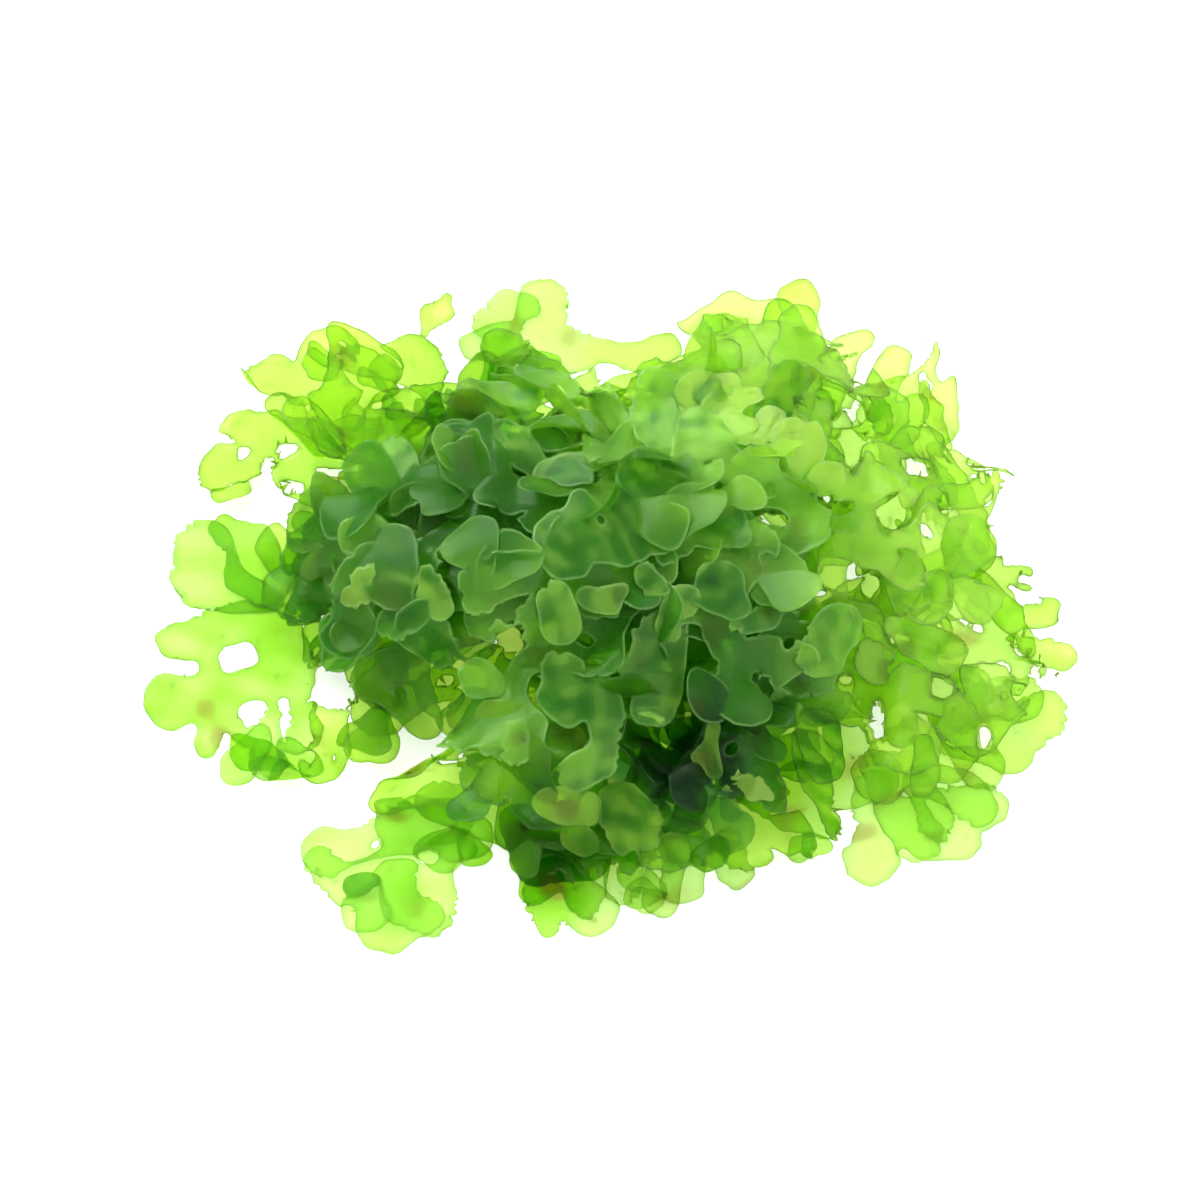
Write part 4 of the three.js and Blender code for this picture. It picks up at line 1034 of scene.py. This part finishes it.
def leaflets(points, faces, seed, habit, windows):
    # Small lobes in ones, twos and threes along the margin and on top. Each is a thin lens,
    # a function of latitude b and longitude a: its outline r(a) is a circle drawn out toward
    # the stalk, notched and wavered by sines, scaled by cos(b) ^ fullness, bent along an arc,
    # cupped across, and sin(b) x half the thickness to either side
    random = np.random.default_rng(seed)
    normals, unused, unused, rim, outward, nearest, distance = rimFrame(points, faces)
    onTop = habit["onTop"]
    roots = rim[random.choice(len(rim), habit["clusters"])]
    ways = outward[nearest[roots]]
    inside = np.flatnonzero(distance > leaflet["inside"])
    if len(inside):
        roots = np.concatenate([roots, random.choice(inside, onTop)])
        ways = np.concatenate([ways, random.normal(size=(onTop, 3))])
    ups = normals[roots]
    ways = ways - ups * (ways * ups).sum(axis=1, keepdims=True)
    ways /= np.maximum(np.linalg.norm(ways, axis=1, keepdims=True), 1e-9)
    numbers = random.integers(1, leaflet["most"] + 1, len(roots))
    which = np.repeat(np.arange(len(roots)), numbers)
    order = np.arange(len(which)) - np.repeat(np.cumsum(numbers) - numbers, numbers)
    turn = (order - (numbers[which] - 1) / 2) * leaflet["fan"]
    turn += random.normal(size=len(which)) * leaflet["fanSpread"]

    def each(low, high):
        return random.uniform(low, high, len(which))[:, None, None]

    def along(amount, direction):
        return amount[..., None] * direction[:, None, None, :]

    # Each lobe's own axes: the way that it points, across it, and above it
    up, way = ups[which], ways[which]
    aside = np.cross(up, way)
    out = way * np.cos(turn)[:, None] + aside * np.sin(turn)[:, None]
    tilt = each(*habit["tilt"])[:, 0]
    raised = out * np.cos(tilt) + up * np.sin(tilt)
    across = np.cross(up, out)
    above = np.cross(raised, across)

    # The lens and its outline
    b, a = np.meshgrid(np.linspace(-math.pi / 2, math.pi / 2, leaflet["rings"]),
                       np.linspace(0, 2 * math.pi, leaflet["sides"], endpoint=False), indexing="ij")
    radius = each(*habit["radius"])
    stalk = each(*leaflet["stalk"])
    outline = 1
    for waves, size in leaflet["waves"]:
        outline = outline + size * np.sin(waves * a + each(0, 6))
    fromTip = np.abs(a + each(*leaflet["notchTurn"]) - 2 * math.pi * (a > math.pi))
    notch = np.maximum(each(*leaflet["notch"]), 0)
    outline -= notch * np.exp(-(fromTip / leaflet["notchWidth"]) ** 2)
    outline += stalk * np.exp(-((a - math.pi) / leaflet["stalkWidth"]) ** 2)
    reach = radius * outline
    share = np.cos(b)[None] ** leaflet["fullness"]
    share[:, [0, -1]] = 0
    x = reach * share * np.cos(a) + radius * (1 + stalk) * 0.9
    y = reach * share * np.sin(a)
    bend = each(*leaflet["bend"])
    bend = np.where(np.abs(bend) < 0.02, 0.02, bend)
    rise = (1 - np.cos(bend * x)) / bend
    rise = rise + leaflet["cup"] * each(-1, 1) * y ** 2 / radius
    rise = rise + leaflet["ruffle"] * share ** 3 * np.sin(3 * a + each(0, 6)) * radius / 2
    rise = rise + np.sin(b) * sheet["thickness"] / 2
    foot = (points[roots][which] - raised * leaflet["overlap"])[:, None, None, :]
    grid = foot + along(np.sin(bend * x) / bend, raised) + along(y, across) + along(rise, above)
    lowest = sheet["floorGap"] + (np.sin(b) + 1) * sheet["thickness"] / 2
    grid[..., 2] = np.maximum(grid[..., 2], lowest)

    # One point at each pole, and faces round the rings between them
    rings, sides = leaflet["rings"] - 2, leaflet["sides"]
    pointsOfOne = rings * sides + 2
    poles = [grid[:, end].mean(axis=1, keepdims=True) for end in (0, -1)]
    flatGrid = np.concatenate([grid[:, 1:-1].reshape(len(which), -1, 3), *poles], axis=1)
    ring, side = np.meshgrid(np.arange(rings - 1), np.arange(sides), indexing="ij")
    low = (ring * sides + side).ravel()
    lowNext = (ring * sides + (side + 1) % sides).ravel()
    turns = np.arange(sides)
    last = (rings - 1) * sides
    lowPole = np.full(sides, rings * sides)
    oneFaces = np.concatenate([np.stack(corners, axis=1) for corners in (
        (low, lowNext, low + sides),
        (lowNext, lowNext + sides, low + sides),
        (lowPole, (turns + 1) % sides, turns),
        (lowPole + 1, last + turns, last + (turns + 1) % sides))])
    edgeGap = (reach * (1 - share))[:, 1:-1].reshape(len(which), -1)
    edgeGap = np.concatenate([edgeGap, np.repeat(radius[:, 0], 2, axis=1)], axis=1)
    tones = random.uniform(-1, 1, len(which)) * leaflet["toneSpread"]

    # Lobes that would close a window or cover a drawn leaf are left out
    inWindow = windowField(pixelsOf(flatGrid.reshape(-1, 3)), windows) < 0
    kept = inWindow.reshape(len(which), -1).mean(axis=1) < leaflet["windowShare"]
    kept &= strokeField(pixelsOf(flatGrid.mean(axis=1)), drapedStrokes) > leaflet["coverMargin"]
    allFaces = oneFaces[None] + (np.arange(kept.sum()) * pointsOfOne)[:, None, None]
    return (flatGrid[kept].reshape(-1, 3), allFaces.reshape(-1, 3), edgeGap[kept].ravel(),
            np.repeat(tones[kept], pointsOfOne))


def edged(points, faces, rounds, seed, calm):
    # The sheet with its margin rounded, then ruffled and worn
    return livingEdge(roundedRim(points, faces, rounds), faces, seed, calm), faces


def joined(parts):
    # Several meshes, each a tuple of points, faces and per-point values, as one
    bases = np.cumsum([0] + [len(part[0]) for part in parts[:-1]])
    faces = np.concatenate([part[1] + base for part, base in zip(parts, bases)])
    points, *values = [np.concatenate([part[index] for part in parts])
                       for index in range(len(parts[0])) if index != 1]
    return points, faces, *values


def makePiece(name, points, faces, attributes):
    mesh = bpy.data.meshes.new(name)
    mesh.from_pydata((points * mm).tolist(), [], faces.tolist())
    for attribute, values in attributes.items():
        layer = mesh.attributes.new(attribute, "FLOAT", "POINT")
        layer.data.foreach_set("value", values.astype(np.float32))
    mesh.polygons.foreach_set("use_smooth", np.ones(len(mesh.polygons), bool))
    mesh.update()
    return addObject(name, mesh)


slotOf = {part["node"]: part["material_slot"] for part in frame["record"]["subparts"]}
# How tone and age change over a piece: sizes and lengths of their waves in mm
colouring = {
    "spread": 0.16,
    "broad": (0.1, 16),
    "small": (0.12, 5),
    "ageLength": 6,
    "ageSteps": (0.85, 1.8),
}


def makeThallus(name, number):
    # One piece: its drawn layers, its draped leaves, its own sheet with windows, and the
    # small lobes that grow on the last of these
    random = np.random.default_rng(700 + number)
    slot = slotOf[name]
    rounds = lobing["drawnRounding"]
    sheets = []
    for index, layer in enumerate(drawnThalli.get(name, ())):
        cut = openWindows(*drawnSheet(layer, 30 * number + index), clearWindows)
        flat = edged(*cut, rounds, 40 * number + index, drawing["calm"])
        sheets.append((*flat, layer["tone"], 1))
    for index, layer in enumerate(drapedLeaves.get(name, ())):
        place = drawnSheet if "height" in layer else drapedSheet
        leaf = place(layer, 30 * number + 10 + index)
        leaf = edged(*leaf, rounds, 40 * number + 10 + index, draping["calm"])
        sheets.append((*leaf, layer["tone"], 0))
    if name not in drawnThalli:
        tone = growing[slot]["tone"] + random.uniform(-colouring["spread"], colouring["spread"])
        cut = openWindows(*fallenSheets[name], windowsOf(name))
        sheets.append((*edged(*cut, lobing["rounding"], 40 * number, 1), tone, 1))
    parts = []
    for points, faces, tone, withPaintedShade in sheets:
        skin, skinFaces, rimDistance = thickSheet(points, faces)
        mottling = draping["mottle"] * waveNoise(skin, draping["mottleLength"], 360 + number, 14)
        # Drawn and fallen sheets take the painted shade and paler tone of the listed places; draped leaves
        # take a random mottle
        tone = tone + withPaintedShade * paintedShadeAndTone(skin) + (1 - withPaintedShade) * mottling
        parts.append((skin, skinFaces, rimDistance, tone))
    points, faces, tone, unusedWithPaintedShade = sheets[-1]
    habit = growing[slot]
    if name in drawnThalli:
        habit = {**habit, "clusters": 1}
    small, smallFaces, smallDistance, smallTone = leaflets(
        points, faces, 900 + number, habit, windowsOf(name))
    # The small lobes take the painted shade and paler tone of the places too
    parts.append((small, smallFaces, smallDistance, tone + smallTone + paintedShadeAndTone(small)))
    points, faces, rimDistance, tone = joined(parts)
    for (size, length), seed in ((colouring["broad"], 60), (colouring["small"], 160)):
        tone = tone + size * waveNoise(points, length, seed + number)
    age = smoothStep(*colouring["ageSteps"], waveNoise(points, colouring["ageLength"], 260 + number))
    piece = makePiece(name + "_leaf", points, faces,
                      {"rimDistance": rimDistance, "tone": tone, "age": age})
    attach(piece, "root")
    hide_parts(name)
    piece.data.materials.append(thallusMaterial(slot))
    return len(piece.data.polygons)


# What all the leaves share. Each step of tone, patches and lines has the colour that one skin
# lets through and that of its body; widths and distances from the margin are in mm
tissue = {
    "grain": 600,
    "faint": {"tone": (0, -0.6), "through": (0.79, 0.92, 0.49, 1), "body": (0.7, 0.9, 0.2, 1)},
    # Above a tone of about 1: painted shade, as dark as a hollow deep in the clump
    "paintedHollowShade": {"tone": (0.95, 1.7), "through": (0.22, 0.5, 0.16, 1), "body": (0.02, 0.085, 0.025, 1)},
    "old": {"through": (0.66, 0.6, 0.3, 1), "body": (0.2, 0.17, 0.045, 1)},
    "speck": {"grain": (0.66, 0.71), "through": (0.22, 0.3, 0.07, 1), "body": (0.04, 0.06, 0.015, 1),
              "onOld": 0.8, "onAll": 0.15, "cover": 0.35},
    # The dark line along the margin and the soft band inside it are painted shade: they stand in for the
    # darkening where light bends at the rounded rim
    "line": {"edge": (0.16, 0.03), "waver": 0.12, "through": (0.2, 0.42, 0.06, 1),
             "body": (0.03, 0.09, 0.012, 1), "cover": 0.4},
    "band": {"edge": (0.75, 0.1), "strength": 0.28},
    "paleRim": {"edge": (0.45, 0.08), "body": (0.48, 0.82, 0.27, 1), "cover": 0.25},
}


def makeTissueGroup():
    # Colours and masks that all the leaves share: green from light to deep and a painted shade of hollows
    # past it, brown old patches, dark specks, and painted shade along the margin: a dark line with a soft
    # band inside it
    group = bpy.data.node_groups.new("thallusTissue", "ShaderNodeTree")
    for side, kind, names in (
            ("INPUT", "Color", ("Light", "Deep", "Body Light", "Body Deep")),
            ("INPUT", "Float", ("Brown", "Line", "Pale Rim")),
            ("OUTPUT", "Color", ("See Through", "Body")),
            ("OUTPUT", "Float", ("Cover", "Speckle"))):
        for name in names:
            group.interface.new_socket(name, in_out=side, socket_type="NodeSocket" + kind)
    given = group.nodes.new("NodeGroupInput").outputs

    def attribute(name):
        return makeNode(group, "Attribute", {}, attribute_name=name)["Fac"]

    def ramp(value, low, high):
        return makeNode(group, "MapRange", {"Value": value, "From Min": low, "From Max": high},
                        interpolation_type="SMOOTHSTEP")["Result"]

    def arithmetic(operation, *values):
        return makeNode(group, "Math", dict(enumerate(values)), operation=operation)["Value"]

    def blend(share, first, second):
        return makeNode(group, "Mix", {"Factor": share, 6: first, 7: second}, data_type="RGBA")[2]

    def blendBoth(share, step, seeThrough, body):
        return blend(share, seeThrough, step["through"]), blend(share, body, step["body"])

    speckle = makeNode(group, "TexNoise", {
        "Vector": makeNode(group, "TexCoord", {})["Object"],
        "Scale": tissue["grain"],
        "Detail": 2,
    })["Fac"]
    tone, age, edge = attribute("tone"), attribute("age"), attribute("rimDistance")
    faint, paintedHollowShade, speck, paintedRimLine, band, pale = (
        tissue[key] for key in ("faint", "paintedHollowShade", "speck", "line", "band", "paleRim"))

    # Green from light to deep, then the faintest, and the painted shade of hollows for the darkest
    share = ramp(tone, 0, 1)
    seeThrough = blend(share, given["Light"], given["Deep"])
    body = blend(share, given["Body Light"], given["Body Deep"])
    seeThrough, body = blendBoth(ramp(tone, *faint["tone"]), faint, seeThrough, body)
    seeThrough, body = blendBoth(ramp(tone, *paintedHollowShade["tone"]), paintedHollowShade, seeThrough, body)

    # Old patches and specks
    patches = arithmetic("MULTIPLY", age, given["Brown"])
    seeThrough, body = blendBoth(patches, tissue["old"], seeThrough, body)
    specks = arithmetic("MULTIPLY", ramp(speckle, *speck["grain"]),
                        arithmetic("MULTIPLY_ADD", age, speck["onOld"], speck["onAll"]))
    seeThrough, body = blendBoth(specks, speck, seeThrough, body)

    # The margin: a dark line and a soft band inside it, painted shade for the darkening where light bends at
    # the rim
    wavering = arithmetic("MULTIPLY_ADD", speckle, paintedRimLine["waver"],
                          arithmetic("SUBTRACT", edge, paintedRimLine["waver"] / 2))
    line = arithmetic("MULTIPLY", ramp(wavering, *paintedRimLine["edge"]), given["Line"])
    bandShade = arithmetic("MULTIPLY", ramp(edge, *band["edge"]),
                           arithmetic("MULTIPLY", given["Line"], band["strength"]))
    shade = arithmetic("MAXIMUM", line, bandShade)
    seeThrough = blend(shade, seeThrough, paintedRimLine["through"])
    paleRim = arithmetic("MULTIPLY", ramp(edge, *pale["edge"]), given["Pale Rim"])
    body = blend(paleRim, body, pale["body"])
    body = blend(line, body, paintedRimLine["body"])

    # How much more opaque the specks and the margin are
    cover = arithmetic("MULTIPLY", paleRim, pale["cover"])
    cover = arithmetic("MULTIPLY_ADD", line, paintedRimLine["cover"], cover)
    cover = arithmetic("MULTIPLY_ADD", specks, speck["cover"], cover)
    setInputs(group.nodes.new("NodeGroupOutput"), {
        "See Through": seeThrough, "Body": body, "Cover": cover, "Speckle": speckle})
    return group


# Each finish: what one skin lets through, what it scatters, how much of it is opaque, and (line) how strong
# its painted margin shade is
finishes = {
    "pale_thallus": {
        "light": (0.81, 0.93, 0.6), "deep": (0.62, 0.84, 0.22),
        "bodyLight": (0.62, 0.86, 0.16), "bodyDeep": (0.3, 0.6, 0.06),
        "cover": 0.08, "brown": 0.5, "line": 0.45, "paleRim": 0.0,
    },
    "bright_thallus": {
        "light": (0.77, 0.91, 0.42), "deep": (0.6, 0.82, 0.2),
        "bodyLight": (0.55, 0.8, 0.09), "bodyDeep": (0.22, 0.48, 0.05),
        "cover": 0.11, "brown": 0.5, "line": 0.65, "paleRim": 0.0,
    },
    "green_thallus": {
        "light": (0.76, 0.9, 0.36), "deep": (0.56, 0.78, 0.18),
        "bodyLight": (0.48, 0.76, 0.07), "bodyDeep": (0.13, 0.38, 0.02),
        "cover": 0.15, "brown": 0.5, "line": 0.75, "paleRim": 0.1,
    },
    "deep_thallus": {
        "light": (0.74, 0.89, 0.34), "deep": (0.48, 0.71, 0.18),
        "bodyLight": (0.45, 0.74, 0.08), "bodyDeep": (0.085, 0.3, 0.02),
        "cover": 0.21, "brown": 0.4, "line": 0.6, "paleRim": 0.2,
    },
    "top_thallus": {
        "light": (0.73, 0.88, 0.36), "deep": (0.45, 0.71, 0.2),
        "bodyLight": (0.43, 0.75, 0.12), "bodyDeep": (0.085, 0.35, 0.03),
        "cover": 0.28, "brown": 0.3, "line": 0.35, "paleRim": 0.45,
    },
}
# How wet the body looks, and how much of its light it passes on
wetness = {
    "coat": 0.22,
    "coatRoughness": 0.12,
    "roughness": (0.18, 0.5),
    "specular": 0.5,
    "glow": 0.4,
}
materials = {}


def thallusMaterial(slot):
    # A see-through skin with a share of wet, softly glowing body. To a shadow ray it is
    # plain see-through, so that the leaves below keep their light
    if slot in materials:
        return materials[slot]
    finish = finishes[slot]
    material = bpy.data.materials.new(slot)
    materials[slot] = material
    material.use_nodes = True
    tree = material.node_tree
    tree.nodes.clear()
    given = {socket: (*finish[key], 1) for socket, key in (
        ("Light", "light"), ("Deep", "deep"), ("Body Light", "bodyLight"), ("Body Deep", "bodyDeep"))}
    given.update({socket: finish[key] for socket, key in (
        ("Brown", "brown"), ("Line", "line"), ("Pale Rim", "paleRim"))})
    leafTissue = makeNode(tree, "Group", given, node_tree=tissueGroup)
    low, high = wetness["roughness"]
    roughness = makeNode(tree, "MapRange", {
        "Value": leafTissue["Speckle"], "To Min": low, "To Max": high})["Result"]
    wet = makeNode(tree, "BsdfPrincipled", {
        "Base Color": leafTissue["Body"],
        "Roughness": roughness,
        "Specular IOR Level": wetness["specular"],
        "Coat Weight": wetness["coat"],
        "Coat Roughness": wetness["coatRoughness"],
    })["BSDF"]
    glow = makeNode(tree, "BsdfTranslucent", {"Color": leafTissue["Body"]})["BSDF"]
    soft = makeNode(tree, "MixShader", {"Fac": wetness["glow"], 1: wet, 2: glow})["Shader"]
    clear = makeNode(tree, "BsdfTransparent", {"Color": leafTissue["See Through"]})["BSDF"]
    cover = makeNode(tree, "Math", {0: leafTissue["Cover"], 1: finish["cover"]},
                     operation="ADD", use_clamp=True)["Value"]
    leaf = makeNode(tree, "MixShader", {"Fac": cover, 1: clear, 2: soft})["Shader"]
    passed = [(1 - finish["cover"]) * (one + other) / 2
              for one, other in zip(finish["light"], finish["deep"])]
    shade = makeNode(tree, "BsdfTransparent", {"Color": (*passed, 1)})["BSDF"]
    shadowRay = makeNode(tree, "LightPath", {})["Is Shadow Ray"]
    whole = makeNode(tree, "MixShader", {"Fac": shadowRay, 1: leaf, 2: shade})["Shader"]
    makeNode(tree, "OutputMaterial", {"Surface": whole})
    return material


tissueGroup = makeTissueGroup()
fallenSheets = {}
for number, name in enumerate(sorted(frame["nodes"])):
    if name not in drawnThalli:
        flat = smoothSheet(*cadSheet(frame["nodes"][name]), sheet["levels"])
        fallenSheets[name] = lobedSheet(*flat, 300 * number)
lowestBehind = {window: lowestSheet(window) for window in paleWindows}
clumpSurface = makeClumpSurface()
drapedStrokes = [stroke for layers in drapedLeaves.values() for layer in layers
                 for stroke in layer["strokes"]]
print("sheets shaped")
total = 0
for number, name in enumerate(sorted(frame["nodes"])):
    total += makeThallus(name, number)
print("thalli ready,", total, "triangles")
